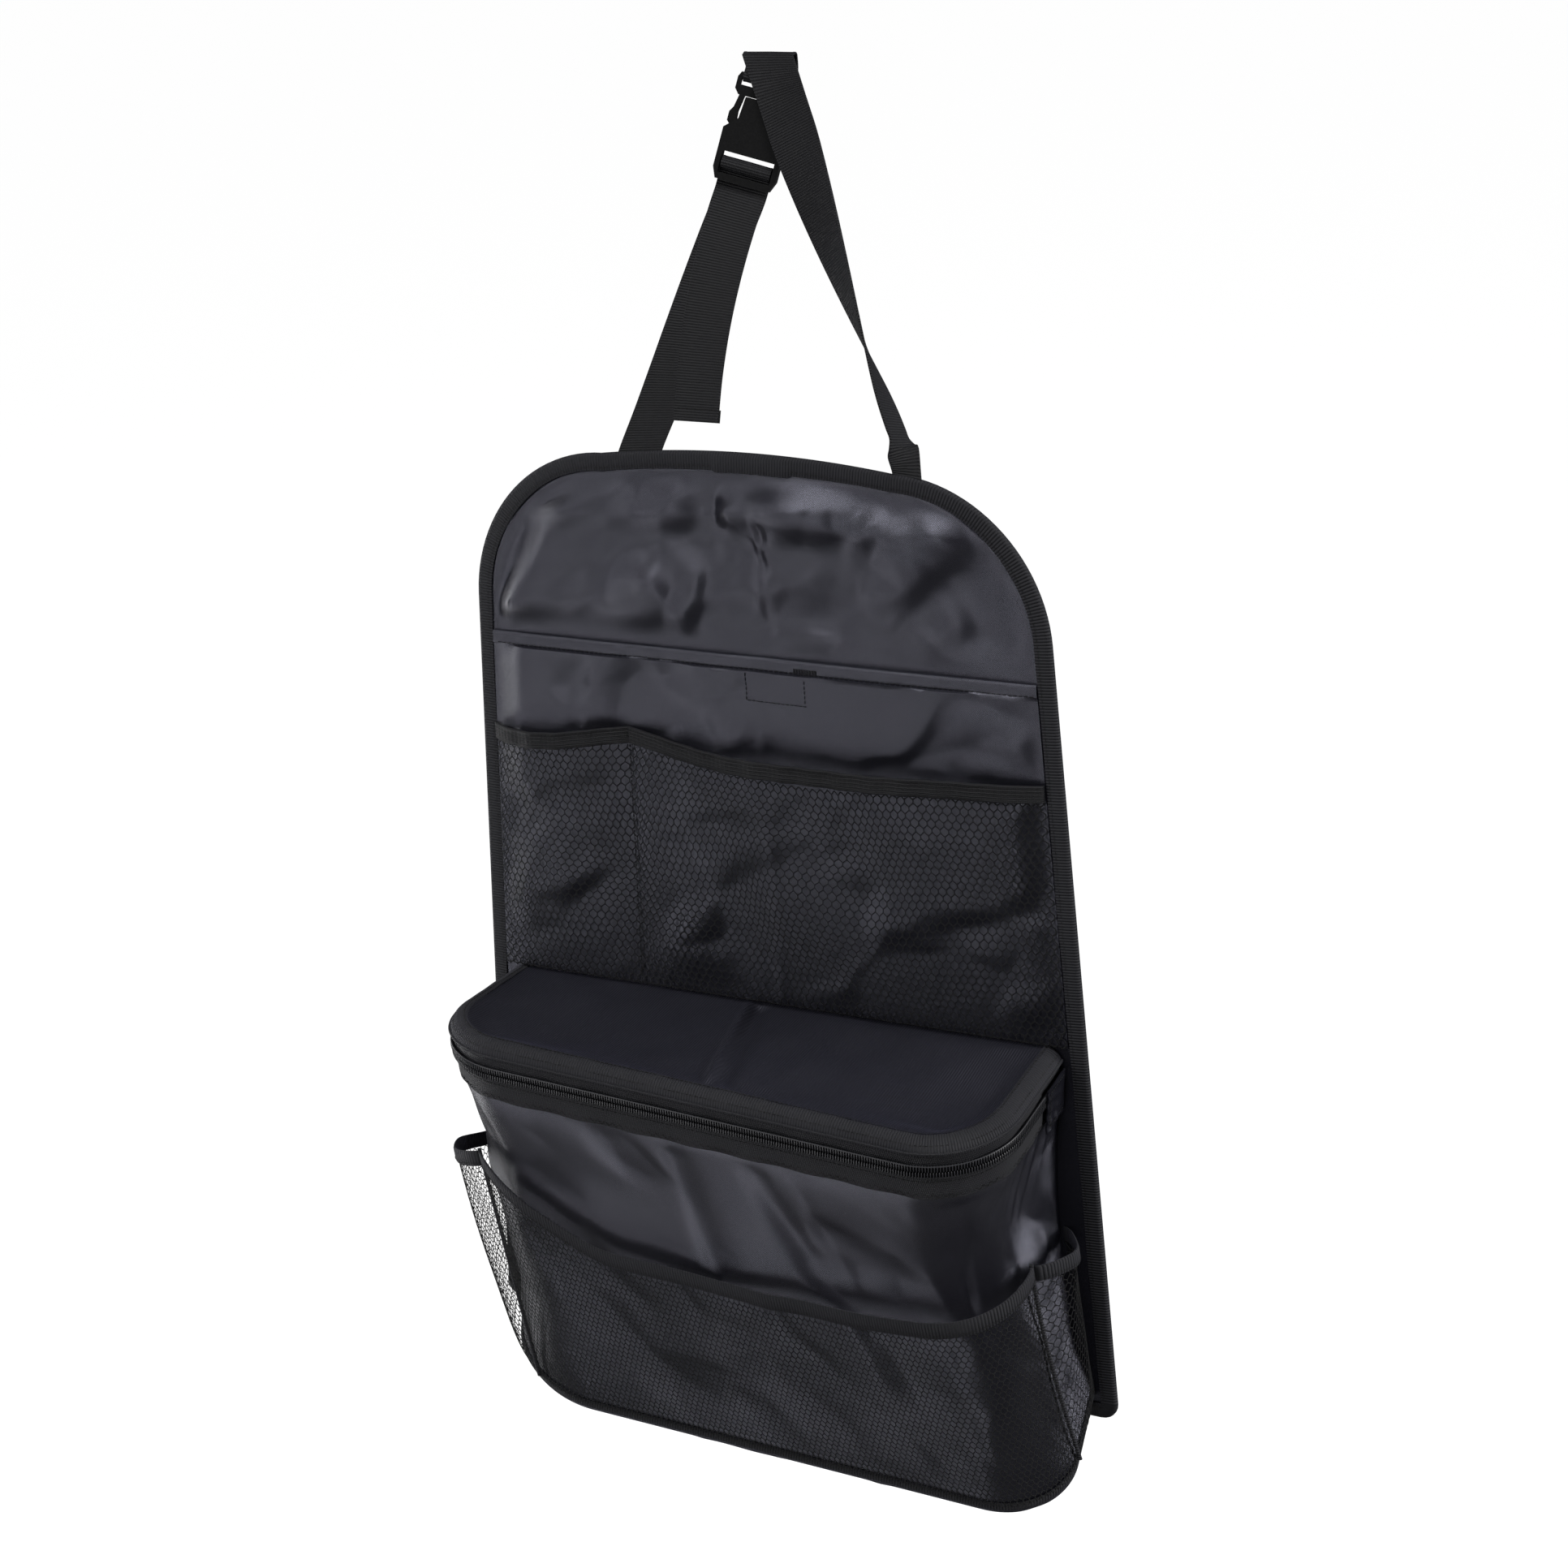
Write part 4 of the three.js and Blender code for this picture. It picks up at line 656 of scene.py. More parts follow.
@dataclass
class BackPanel:
    """The bound cloth panel and its flat slip pocket. Millimetres."""

    height: float = 560.0
    half_width: float = 194.0
    flare: float = 0.055
    corner: float = 90.0
    crown: float = 6.0
    tape: float = 10.0
    front: float = -4.0
    fold: float = 1.2
    slip_below_top: float = 117.0
    hem: float = 8.0
    divider: float = -88.0
    lid_below_top: float = 330.0
    rows: int = 190
    columns: int = 150

    @property
    def top(self) -> float:
        """Height of the panel's top edge."""
        return self.height / 2

    @property
    def inner_top(self) -> float:
        """Top of the cloth at its corners' inner ends."""
        return self.top - self.tape - self.crown

    @property
    def inner_bottom(self) -> float:
        """Bottom of the cloth."""
        return -self.height / 2 + self.tape

    @property
    def inner_corner(self) -> float:
        """Corner radius of the cloth inside its tape."""
        return self.corner - self.tape

    @property
    def corner_half(self) -> float:
        """Half width where the corners begin."""
        return float(self.inner_half(self.inner_top - self.inner_corner))

    @property
    def corner_start(self) -> float:
        """Distance from the middle to where the corners begin along the top."""
        return self.corner_half - self.inner_corner

    @property
    def slip_top(self) -> float:
        """Height of the slip pocket's hem."""
        return self.top - self.slip_below_top

    @property
    def lid_z(self) -> float:
        """Height of the seam where the bag's lid meets the panel."""
        return self.top - self.lid_below_top

    def inner_half(self, z: Array | float) -> Array | float:
        """Half width of the cloth at a height."""
        return self.half_width - self.flare * z - self.tape

    def inner_top_at(self, x: Array) -> Array:
        """Top of the cloth: a shallow crown, then a quarter circle at each corner."""
        past = np.clip(np.abs(x) - self.corner_start, 0, self.inner_corner)
        arch = self.crown * (1 - np.clip(np.abs(x) / self.corner_start, 0, 1) ** 2)
        round_off = self.inner_corner - np.sqrt(np.maximum(self.inner_corner**2 - past**2, 0))
        return self.inner_top + arch - round_off

    def relief(self, x: Array, z: Array) -> Array:
        """Height of the cloth's dents and creases above flat."""
        edge = smooth((self.inner_top_at(np.clip(x, -self.corner_half, self.corner_half)) - z) / 20)
        edge = edge * smooth((self.inner_half(z) - np.abs(x)) / 16)
        dents = (
            ridge(x, z, (-9, 247), (75, 239), 6.5, 15, 9, 1.2)
            + ridge(x, z, (-9, 247), (12, 225), 2.6, 6, 6, 1.2)
            + ridge(x, z, (-98, 266), (-172, 160), 9.0, 34, 17, 1.6)
            + ridge(x, z, (-149, 238), (-12, 243), 1.8, 5, 8)
            + ridge(x, z, (-62, 200), (-43, 178), 2.6, 8)
            + ridge(x, z, (-43, 178), (-34, 204), 2.0, 7)
            + ridge(x, z, (96, 240), (112, 180), 4.0, 26, 14)
            - ridge(x, z, (8, 238), (6, 164), 3.4, 7, 18)
            - ridge(x, z, (140, 215), (170, 170), 3.0, 18)
        )
        crease = self.fold * np.exp(-np.abs(x - 7) / 1.6)
        above = smooth((z - self.slip_top - 2) / 20)
        return edge * settled(dents + crease + drape(x, z, 14, 8.5) + 1.0, 3.2, 15.0) * above

    def cloth_grid(self) -> tuple[Array, Array]:
        """The cloth's x and z over a grid whose top row follows the rounded top."""
        arc = self.corner_start + self.inner_corner * np.cos(np.linspace(0, math.pi / 2, 26)[:-1])
        flat = np.linspace(-self.corner_start, self.corner_start, self.columns - 50)
        nominal = np.concatenate([-arc, flat, arc[::-1]])
        t = np.linspace(0, 1, self.rows)[:, None]
        z = lerp(self.inner_bottom, self.inner_top_at(nominal)[None], t)
        return nominal[None] / self.corner_half * self.inner_half(z), z

    def edge_path(self) -> tuple[Array, Array]:
        """The cloth's outline once round, and the outward direction at each point."""
        x, z = self.cloth_grid()
        points = stack(x, 0 * x, z)
        right = points[1:-1:2, -1]
        left = points[1:-1:2, 0][::-1]
        loop = np.concatenate([points[0], right, points[-1][::-1], left])
        ahead, behind = np.roll(loop, -1, axis=0), np.roll(loop, 1, axis=0)
        along = unit(ahead - behind)
        out = stack(along[:, 2], 0 * along[:, 0], -along[:, 0])
        return self.with_corners(loop, out, len(points[0]) - 1)

    def with_corners(self, loop: Array, out: Array, last: int) -> tuple[Array, Array]:
        """Fans the outward direction round the two square bottom corners."""

        def fan(start: float) -> Array:
            """Seven directions over a quarter turn."""
            angle = np.radians(np.linspace(start, start + 90, 7))
            return stack(np.cos(angle), 0 * angle, np.sin(angle))

        first, second = (np.repeat(loop[i : i + 1], 7, axis=0) for i in (0, last))
        path = [first, loop[1:last], second, loop[last + 1 :]]
        ways = [fan(180.0), out[1:last], fan(270.0), out[last + 1 :]]
        return np.concatenate(path), np.concatenate(ways)

    def cloth(self) -> None:
        """The panel: creased front, flat back, and a thin edge inside the tape."""
        x, z = self.cloth_grid()
        uv = np.stack([x, z], axis=-1)
        front = stack(x, self.front - self.relief(x, z), z)
        back = stack(x, np.full_like(x, -0.02), z)
        mesh = PieceMesh()
        mesh.grid(front, uv)
        mesh.grid(back, uv)
        for cut in (np.s_[0], np.s_[-1], np.s_[:, 0], np.s_[:, -1]):
            side = stack(x[cut], np.full_like(x[cut], -2.5), z[cut])
            middle = side + self.edge_push(cut, x[cut])
            rows = np.stack([front[cut], middle, back[cut]])
            mesh.grid(rows, np.stack([uv[cut]] * 3))
        mesh.build("panel_cloth", TWILL_CLOTH, "back_panel")

    def edge_push(self, cut: object, x: Array) -> Array:
        """How far the cloth's edge reaches into the tape, zero at the ends of each side."""
        reach = 3.0 * np.sin(np.linspace(0, math.pi, len(x))) ** 0.2
        if isinstance(cut, tuple):
            return stack(reach * np.sign(x), 0 * x, 0 * x)
        return stack(0 * x, 0 * x, reach if cut == -1 else -reach)

    def binding(self) -> None:
        """Tape folded round the edge, a little uneven in width, with one row of stitches."""
        path, out = self.edge_path()
        around = arc_length(path + out * self.tape)
        sway = 0.35 * np.sin(around / 31) + 0.25 * np.sin(around / 11 + 1)
        lap = 1.3 * smooth((path[:, 0] + 20) / 3) * smooth((30 - path[:, 0]) / 2) * (path[:, 2] > 200)
        inner = 0.1 + sway * 0.6 - lap
        bump = 5.02 + 0.5 * lap
        zero, wide = np.zeros_like(inner), self.tape
        corners = [
            (inner, -bump), (inner + 0.6, -bump - 0.15), (inner + 4, -bump - 0.05),
            (zero + wide - 2.2, -bump + 0.1), (zero + wide - 0.7, -4.4 + zero),
            (zero + wide, -3.1 + zero), (zero + wide, -2.0 + zero), (zero + wide - 0.7, -0.7 + zero),
            (zero + wide - 2.2, zero), (zero + 0.2, zero), (zero + 0.2, -1.0 + zero),
            (zero + wide - 1.6, -1.2 + zero), (zero + wide - 1.4, -3.5 + zero), (inner + 0.1, -3.9 + zero),
        ]
        profile = np.stack([np.stack(c, axis=-1) for c in corners], axis=1)
        mesh = PieceMesh()
        mesh.sweep(path, out, facing((0.0, 1.0, 0.0), path), profile, closed=True)
        mesh.build("panel_tape", EDGE_TAPE, "panel_binding")
        seam = PieceMesh()
        for y, way_y, thread in ((-5.12, -1.0, 0.5), (0.0, 0.02, 0.02)):
            line = path + out * 2.2 + stack(0 * around, y + 0 * around, 0 * around)
            line = np.concatenate([line, line[:1]])
            seam.stitches(line, facing((0.0, way_y, 0.0), line), 3.1, thread)
        seam.build("panel_tape_stitches", THREAD)

    def slip_lift(self, x: Array, z: Array) -> Array:
        """How far the slip pocket's cloth stands off the panel's: hem, swells and centre crease."""
        raised = smooth((z - (self.slip_top - self.hem)) / 0.7)
        rounded = 0.5 * smooth((z - (self.slip_top - 1.2)) / 1.2)
        dents = (
            ridge(x, z, (-150, 150), (-165, 118), 3.0, 22, 10)
            + ridge(x, z, (-96, 158), (-112, 120), 3.0, 16, 8)
            + ridge(x, z, (-20, 158), (-14, 100), 2.6, 12, 16)
            + ridge(x, z, (70, 150), (96, 108), 3.2, 24, 12)
        )
        soft = settled(drape(x, z, 21, 7.0) + 2.0 + dents, 0.5, 8.0) * (1 - 0.75 * raised)
        soft = np.clip(soft, -0.4, 4.5) * smooth((self.inner_half(z) - np.abs(x)) / 22)
        soft *= smooth((z - self.lid_z) / 40)
        soft *= 1 - np.exp(-(((x - self.divider) / 20) ** 2)) * smooth((self.top - 160 - z) / 20)
        crease = 0.9 * np.exp(-np.abs(x - 5) / 1.6)
        return 0.95 + 0.75 * raised - rounded + soft + crease * (1 - 0.6 * raised)

    def slip_pocket(self) -> None:
        """Flat pocket whose folded hem stands a little proud, with its stitched rows."""
        levels = np.concatenate([
            np.linspace(self.lid_z + 1.2, self.slip_top - self.hem, 90),
            self.slip_top - self.hem + np.array([0.35, 0.9, 2.0, 4.0, 6.0, 7.2, 7.8, 8.0]),
        ])
        t = np.linspace(-1, 1, 140)
        z = levels[:, None] + 0 * t[None]
        x = t[None] * (self.inner_half(z) - 0.4)
        lift = self.slip_lift(x, z)
        front = stack(x, self.front - 0.25 - lift, z)
        back = stack(x, np.full_like(x, self.front - 0.25), z)
        mesh = PieceMesh()
        mesh.shell(front, back, np.stack([x, z], axis=-1))
        mesh.build("slip_cloth", TWILL_CLOTH, "slip_pocket")
        self.slip_stitches()

    def slip_stitches(self) -> None:
        """The hem's row, the small sewn rectangle under it and its bar tack."""
        seam = PieceMesh()
        half = float(self.inner_half(self.slip_top)) - 3

        def run(points: list[tuple[float, float]], pitch: float, thread: float) -> None:
            """Stitches on the pocket's cloth through points given as x and z."""
            path = np.concatenate([np.linspace(a, b, 160) for a, b in zip(points[:-1], points[1:])])
            x, z = path[:, 0], path[:, 1]
            line = stack(x, self.front - 0.3 - self.slip_lift(x, z), z)
            seam.stitches(line, facing(FORWARD, line), pitch, thread)

        hem_row = self.slip_top - self.hem + 1.2
        run([(-half, hem_row), (half, hem_row)], 3.2, 0.75)
        low, high = self.slip_top - 25, self.slip_top - self.hem - 0.5
        run([(-4, high), (-4, low), (34, low), (34, high)], 2.8, 0.8)
        for k in range(4):
            row = self.slip_top - self.hem + 0.8 + 0.9 * k
            run([(26, row), (41, row)], 1.7, 0.9)
        seam.build("slip_stitches", THREAD)

    def dress(self) -> None:
        """Builds the panel's pieces."""
        self.cloth()
        self.binding()
        self.slip_pocket()


# Nets


@dataclass(frozen=True)
class NetKnit:
    """Six-sided cells of a warp-knitted net: zigzag rows joined by short uprights."""

    cell: float
    row: float
    yarn: float

    def fill(self, mesh: PieceMesh, width: float, top: Callable[[Array], Array], place: Field) -> None:
        """Fills a wall with strands.

        Row r of the zigzag runs at height r * row, up and down by a quarter of a
        row at every half cell, and every other half cell an upright joins it to
        the row above, the uprights changing sides from row to row.

        Args:
            mesh: takes the strands.
            width: the wall's width in millimetres.
            top: the wall's height at each u.
            place: maps u and v to points by 3.
        """
        halves = int(round(width / self.cell)) * 2
        step = width / halves
        rows = int(np.max(top(np.linspace(0, width, 60))) / self.row) + 1
        i = np.arange(halves + 1)[None]
        r = np.arange(rows)[:, None]
        swing = np.where((i + r) % 2 == 0, 0.25, -0.25) * self.row
        u = np.broadcast_to(i * step, (rows, halves + 1)).astype(float)
        v = r * self.row + swing + 0.25 * self.row
        spots = np.stack([u, v], axis=-1)
        upright = (i + r[:-1]) % 2 == 0
        start = np.concatenate([spots[:, :-1].reshape(-1, 2), spots[:-1][upright]])
        end = np.concatenate([spots[:, 1:].reshape(-1, 2), spots[1:][upright]])
        inside = (start[:, 1] < top(start[:, 0])) & (end[:, 1] < top(end[:, 0]))
        start, end = start[inside], end[inside]
        a, b = place(start[:, 0], start[:, 1]), place(end[:, 0], end[:, 1])
        ahead, behind = (place(np.clip(start[:, 0] + way, 0, width), start[:, 1]) for way in (1, -1))
        rise = place(start[:, 0], start[:, 1] + 1) - place(start[:, 0], start[:, 1] - 1)
        mesh.strands(a, b, unit(np.cross(ahead - behind, rise)), self.yarn, self.yarn * 0.7)


@dataclass
class UpperPocket:
    """The wide net pocket with its divider and ribbed elastic. Millimetres."""

    panel: BackPanel
    rim_below_top: float = 174.0
    rim_lift: float = 7.0
    bulge: float = 17.0
    elastic: float = 10.0
    knit: NetKnit = field(default_factory=lambda: NetKnit(4.8, 4.2, 0.8))

    @property
    def half_span(self) -> float:
        """Half of the net's width."""
        return float(self.panel.inner_half(0.0)) - 1

    @property
    def bottom(self) -> float:
        """Height of the seam at the net's bottom."""
        return self.panel.lid_z + 1.2

    def net_top(self, x: Array) -> Array:
        """Height of the net's top edge, lifted near the divider."""
        lift = self.rim_lift * np.exp(-(((x - self.panel.divider) / 42) ** 2))
        return self.panel.top - self.rim_below_top + lift - self.elastic

    def stand_off(self, x: Array, z: Array) -> Array:
        """How far the net stands off: an arch between its stitched lines, less at its foot."""
        left = x < self.panel.divider
        low = np.where(left, -self.half_span, self.panel.divider)
        high = np.where(left, self.panel.divider, self.half_span)
        across = np.sin(math.pi * np.clip((x - low) / (high - low), 0, 1)) ** 0.8
        up = np.clip((z - self.bottom) / (self.net_top(x) - self.bottom), 0, 1)
        pleat = 3.5 * np.exp(-(((x - 10) / 9) ** 2)) * np.sin(math.pi * up)
        loops = 2.4 * np.exp(-(((x - 14 - 10 * (1 - up)) / 6) ** 2))
        loops *= np.sin(math.pi * np.clip(up * 1.6, 0, 1))
        waves = 0.7 * np.sin(x / 7.3 + 2 * up) * np.sin(math.pi * up)
        waves += 0.5 * np.sin(x / 3.1) * smooth((up - 0.75) / 0.25)
        return (self.bulge * np.where(left, 0.8, 1.0) * across + pleat + loops + waves * across) * up**0.55

    def place(self, u: Array, z: Array, out: Array | float) -> Array:
        """A point of the net u from its left end, at height z and out from its own skin."""
        flat = u - self.half_span
        x = flat / self.half_span * (self.panel.inner_half(z) - 1)
        return stack(x, -5.9 - self.stand_off(flat, z) - out, z)

    def stretched(self, u: Array, v: Array) -> Array:
        """A point of the netting, its cells pulled out of square away from the seams."""
        flat = u - self.half_span
        up = np.clip(v / 150, 0, 1)
        across = np.sin(math.pi * np.clip(u / (2 * self.half_span), 0, 1)) ** 0.5
        free = across * np.sin(math.pi * up) ** 0.5
        aside = 3.2 * np.sin(v / 19 + flat / 33) + 2.0 * np.sin(flat / 15 + 1.3 + v / 40)
        rise = 2.4 * np.sin(flat / 24 + v / 50) + 1.6 * np.sin(v / 14 + flat / 60)
        return self.place(u + aside * free, self.bottom + v + rise * free, 0.4)

    def dress(self) -> None:
        """Builds the net, the divider's stitches and the elastic."""
        width = 2 * self.half_span
        mesh = PieceMesh()

        def top(u: Array) -> Array:
            """The net's height above its seam."""
            return self.net_top(u - self.half_span) - self.bottom + 1.5

        self.knit.fill(mesh, width, top, self.stretched)
        mesh.build("upper_mesh", MESH_YARN, "upper_net")
        self.band(width)
        self.seams(width)

    def band(self, width: float) -> None:
        """The elastic: five ribs along it and fine gathers across it."""
        u = np.linspace(0, width, 420)
        base = self.net_top(u - self.half_span) + 0.3
        up = np.linspace(0, self.elastic, 21)
        rib = 0.35 * np.abs(np.sin(math.pi * up / self.elastic * 5))
        gather = 0.22 * np.sin(u * 1.9)[:, None] * np.sin(math.pi * up / self.elastic)[None]
        wave = 0.6 * np.sin(u / 13)[:, None]
        height = base[:, None] + up[None]
        spot = base[:, None] + 0 * height
        front = self.place(u[:, None] + 0 * height, spot, 1.5 + rib[None] + gather + wave)
        back = self.place(u[:, None] + 0 * height, spot, 0.0 + wave)
        front[..., 2] = height
        back[..., 2] = height
        mesh = PieceMesh()
        mesh.shell(front, back, np.stack([u[:, None] + 0 * height, height - base[:, None]], axis=-1))
        mesh.build("upper_elastic", ELASTIC_BAND, "upper_net_elastic")

    def seams(self, width: float) -> None:
        """Stitches on the elastic, down the divider and along the net's foot."""
        seam = PieceMesh()
        u = np.linspace(2, width - 2, 300)
        for offset in (1.1, self.elastic - 1.1):
            z = self.net_top(u - self.half_span) + 0.3
            line = self.place(u, z, 1.95)
            line[:, 2] += offset
            seam.stitches(line, facing(FORWARD, line), 2.6, 0.5)
        v = np.linspace(self.bottom, float(self.net_top(np.array(self.panel.divider))) + self.elastic, 80)
        at = np.full_like(v, self.panel.divider + self.half_span)
        line = self.place(at, np.minimum(v, float(self.net_top(np.array(self.panel.divider)))), 0.9)
        line[:, 2] = v
        seam.stitches(line, facing(FORWARD, line), 2.4, 0.8)
        foot = self.place(u, np.full_like(u, self.bottom + 1.2), 0.8)
        seam.stitches(foot, facing(FORWARD, foot), 2.6, 0.6)
        seam.build("upper_stitches", THREAD)


# Bag


@dataclass
class BagShape:
    """The zipped bag's box, bent to the way it hangs. Millimetres."""

    lid_z: float = -50.0
    height: float = 214.0
    depth: float = 108.0
    half_width: float = 183.0
    corner: float = 52.0
    bottom_flare: float = 12.0
    bottom_narrow: float = 7.0
    right_cave: float = 12.0
    top_sag: tuple[float, float] = (0.0, 20.0)
    bottom_sag: tuple[float, float] = (26.0, 46.0)
    tuck: tuple[float, float] = (22.0, 36.0)
    swing: float = 30.0
    panel_half: float = 184.0
    panel_flare: float = 0.055
    side_steps: float = 4.0
    arc_steps: float = 6.0
    front_steps: float = 14.0

    def cloth_half(self, z: Array) -> Array:
        """Half width of the panel's cloth inside its tape."""
        return self.panel_half - self.panel_flare * z

    @property
    def last(self) -> float:
        """The outline's last station, at the right back."""
        return 2 * (self.side_steps + self.arc_steps) + self.front_steps

    def point(self, u: Array, d: Array, h: Array) -> Array:
        """A point of the hung box.

        u runs across from -1 to 1, d from the panel to the front, 0 to 1, and h
        is millimetres below the lid. Width flares at the bottom's back, the
        bottom's front tucks in and swings right, the front sags and the right
        side caves in.
        """
        w = h / self.height
        side = (u + 1) / 2
        sag = lerp(lerp(*self.top_sag, side), lerp(*self.bottom_sag, side), w)
        half = self.half_width + self.bottom_flare * w * (1 - d) - self.bottom_narrow * w * d
        cave = self.right_cave * side**3 * np.sin(math.pi * w)
        x = u * half + self.swing * w * d - cave
        y = BAG_BACK_Y - d * (self.depth - lerp(*self.tuck, side) * w)
        return stack(x, y, self.lid_z - h - d * sag)

    def outline(self, k: Array) -> tuple[Array, Array]:
        """Plan position of station k: left side, corner arc, front, corner arc, right side."""
        mirrored = k > self.last / 2
        j = np.where(mirrored, self.last - k, k)
        ru, rd = self.corner / self.half_width, self.corner / self.depth
        side = np.clip(j / self.side_steps, 0, 1)
        arc = np.clip((j - self.side_steps) / self.arc_steps, 0, 1) * math.pi / 2
        run = np.clip((j - self.side_steps - self.arc_steps) / (self.front_steps / 2), 0, 1)
        u = -1 + ru * (1 - np.cos(arc)) + (1 - ru) * run
        d = (1 - rd) * side + rd * np.sin(arc)
        return np.where(mirrored, -u, u), d

    def wall(self, k: Array, h: Array, out: Array | float) -> Array:
        """A point on the bag's outline at station k, h below the lid and out from its skin."""
        k, h = np.broadcast_arrays(np.asarray(k, float), np.asarray(h, float))
        here = self.point(*self.outline(k), h)
        before = self.point(*self.outline(np.maximum(k - 0.2, 0)), h)
        after = self.point(*self.outline(np.minimum(k + 0.2, self.last)), h)
        along = after - before
        along[..., 2] = 0
        along = unit(along)
        here[..., 0] += along[..., 1] * out
        here[..., 1] -= along[..., 0] * out
        near = self.cloth_half(here[..., 2]) - np.abs(here[..., 0])
        limit = lerp(BAG_BACK_Y, TAPE_FRONT_Y, smooth((14 - near) / 6))
        here[..., 1] = np.minimum(here[..., 1], limit)
        return here

    def run(self, start: float, end: float, count: int, h: float = 20.0) -> tuple[Array, Array]:
        """Stations evenly spaced along the wall at height h, with their distances."""
        fine = np.linspace(start, end, 800)
        lengths = arc_length(self.wall(fine, np.full_like(fine, h), 0.0))
        wanted = np.linspace(0, lengths[-1], count)
        return np.interp(wanted, lengths, fine), wanted

    def outward(self, k: Array, h: Array) -> Array:
        """Outward direction of the wall."""
        return unit(self.wall(k, h, 1.0) - self.wall(k, h, 0.0) + 1e-9)


@dataclass
class ZipBag:
    """Lid, bands, zip, wall and bottom of the bag. Millimetres."""

    shape: BagShape
    band_width: float = 12.0
    band_lip: float = 9.0
    band_drop: float = 7.0
    coil_top: float = 12.8
    tooth: float = 2.7
    tooth_gap: float = 1.4
    tooth_pitch: float = 1.6
    tape: float = 12.0
    wall_top: float = 25.0
    wall_fold: float = 4.0

    @property
    def zip_centre(self) -> float:
        """Height below the lid of the line between the two rows of teeth."""
        return self.coil_top + self.tooth + self.tooth_gap / 2

    @property
    def tape_top(self) -> float:
        """Height below the lid of the lower tape's top."""
        return self.zip_centre + self.tooth_gap / 2 + self.tooth + 0.3

    @property
    def tape_bottom(self) -> float:
        """Height below the lid of the lower tape's bottom edge."""
        return self.tape_top + self.tape

    @property
    def wall_bottom(self) -> float:
        """Height below the lid of the wall's bottom edge."""
        return self.shape.height - 1.8

    def lid(self) -> None:
        """The lid's top cloth: a dished sheet with a long crease and small ones."""
        shape = self.shape
        inset = self.band_width - 2.5
        radius = shape.corner - inset
        rd, ru = radius / shape.depth, radius / shape.half_width
        edge_u, edge_d = 1 - inset / shape.half_width, 1 - inset / shape.depth
        straight = np.linspace(0, edge_d - rd, 30)[:-1]
        bend = edge_d - rd + rd * np.sin(np.linspace(0, math.pi / 2, 34))
        depths = np.concatenate([straight, bend])[:, None]
        past = np.clip((depths - edge_d + rd) / rd, 0, 1)
        span = edge_u - ru + ru * np.sqrt(np.maximum(0, 1 - past**2))
        u = span * np.linspace(-1, 1, 170)[None]
        d = depths + 0 * u
        top = shape.point(u, d, np.zeros_like(u))
        x, y = top[..., 0], top[..., 1]
        dish = 3.0 * np.sin(math.pi * np.clip(d / edge_d, 0, 1)) * (1 - (u / edge_u) ** 2)
        fade = smooth((1 - np.abs(u) / span) / 0.08) * smooth((edge_d - d) / 0.12) * smooth(d / 0.08)
        long_crease = ridge(x, y, (-16, -6), (6, -98), 3.2, 3.4) - ridge(x, y, (-8, -8), (15, -98), 2.0, 6)
        swell = 2.2 * np.sin(x / 44 + 0.8) * np.sin(math.pi * d)
        small = drape(x, y, 31, 2.2)
        lift = (long_crease + swell + small) * fade - dish
        front = top.copy()
        front[..., 2] += lift
        back = front.copy()
        back[..., 2] -= 1.6
        mesh = PieceMesh()
        mesh.shell(front, back, np.stack([x, y], axis=-1))
        mesh.build("lid_cloth_top", LID_CLOTH, "lid")

    def lid_band(self) -> None:
        """The woven band over the lid's edge, its piping and its stitches."""
        k, _ = self.shape.run(0.0, self.shape.last, 420, 0.0)
        wide, lip, drop = self.band_width, self.band_lip, self.band_drop
        line = np.array([
            (-wide, -0.4), (-wide + 0.8, -1.0), (-wide * 0.72, -0.9), (-wide * 0.45, 0.3),
            (-wide * 0.22, 2.4), (-1.3, 4.0), (-0.4, 5.4), (0.0, drop), (0.1, lip - 1.4),
            (-0.1, lip - 1), (-1.1, lip - 1), (-1.3, drop + 0.4), (-1.9, 5.4), (-3.0, 4.0),
            (-wide * 0.45, 1.7), (-wide, 0.8),
        ])
        waver = 0.25 * np.sin(k * 2.3) + 0.2 * np.sin(k * 5.1)
        points = self.shape.wall(k[:, None], line[None, :, 1] + waver[:, None] * 0.4, line[None, :, 0])
        mesh = PieceMesh()
        mesh.band(points, arc_length(self.shape.wall(k, np.zeros_like(k), 0.0)), line)
        mesh.build("lid_band", EDGE_TAPE, "lid_binding")
        self.piping(k)
        seam = PieceMesh()
        for h, out in ((-1.15, 2.0 - wide), (2.5, -2.6)):
            row = self.shape.wall(k, np.full_like(k, h), out)
            seam.stitches(row, facing(UPWARD, row), 2.9, 0.5)
        seam.build("lid_stitches", THREAD)

    def piping(self, k: Array) -> None:
        """A thin cord of cloth along the band's outer edge."""
        centre = self.shape.wall(k, np.full_like(k, 6.2), 0.15)
        out = self.shape.outward(k, np.full_like(k, 6.2))
        up = facing(UPWARD, out)
        mesh = PieceMesh()
        mesh.sweep(centre, out, up, oval(8, 0.85, 0.85))
        mesh.build("lid_piping", ZIP_CLOTH)

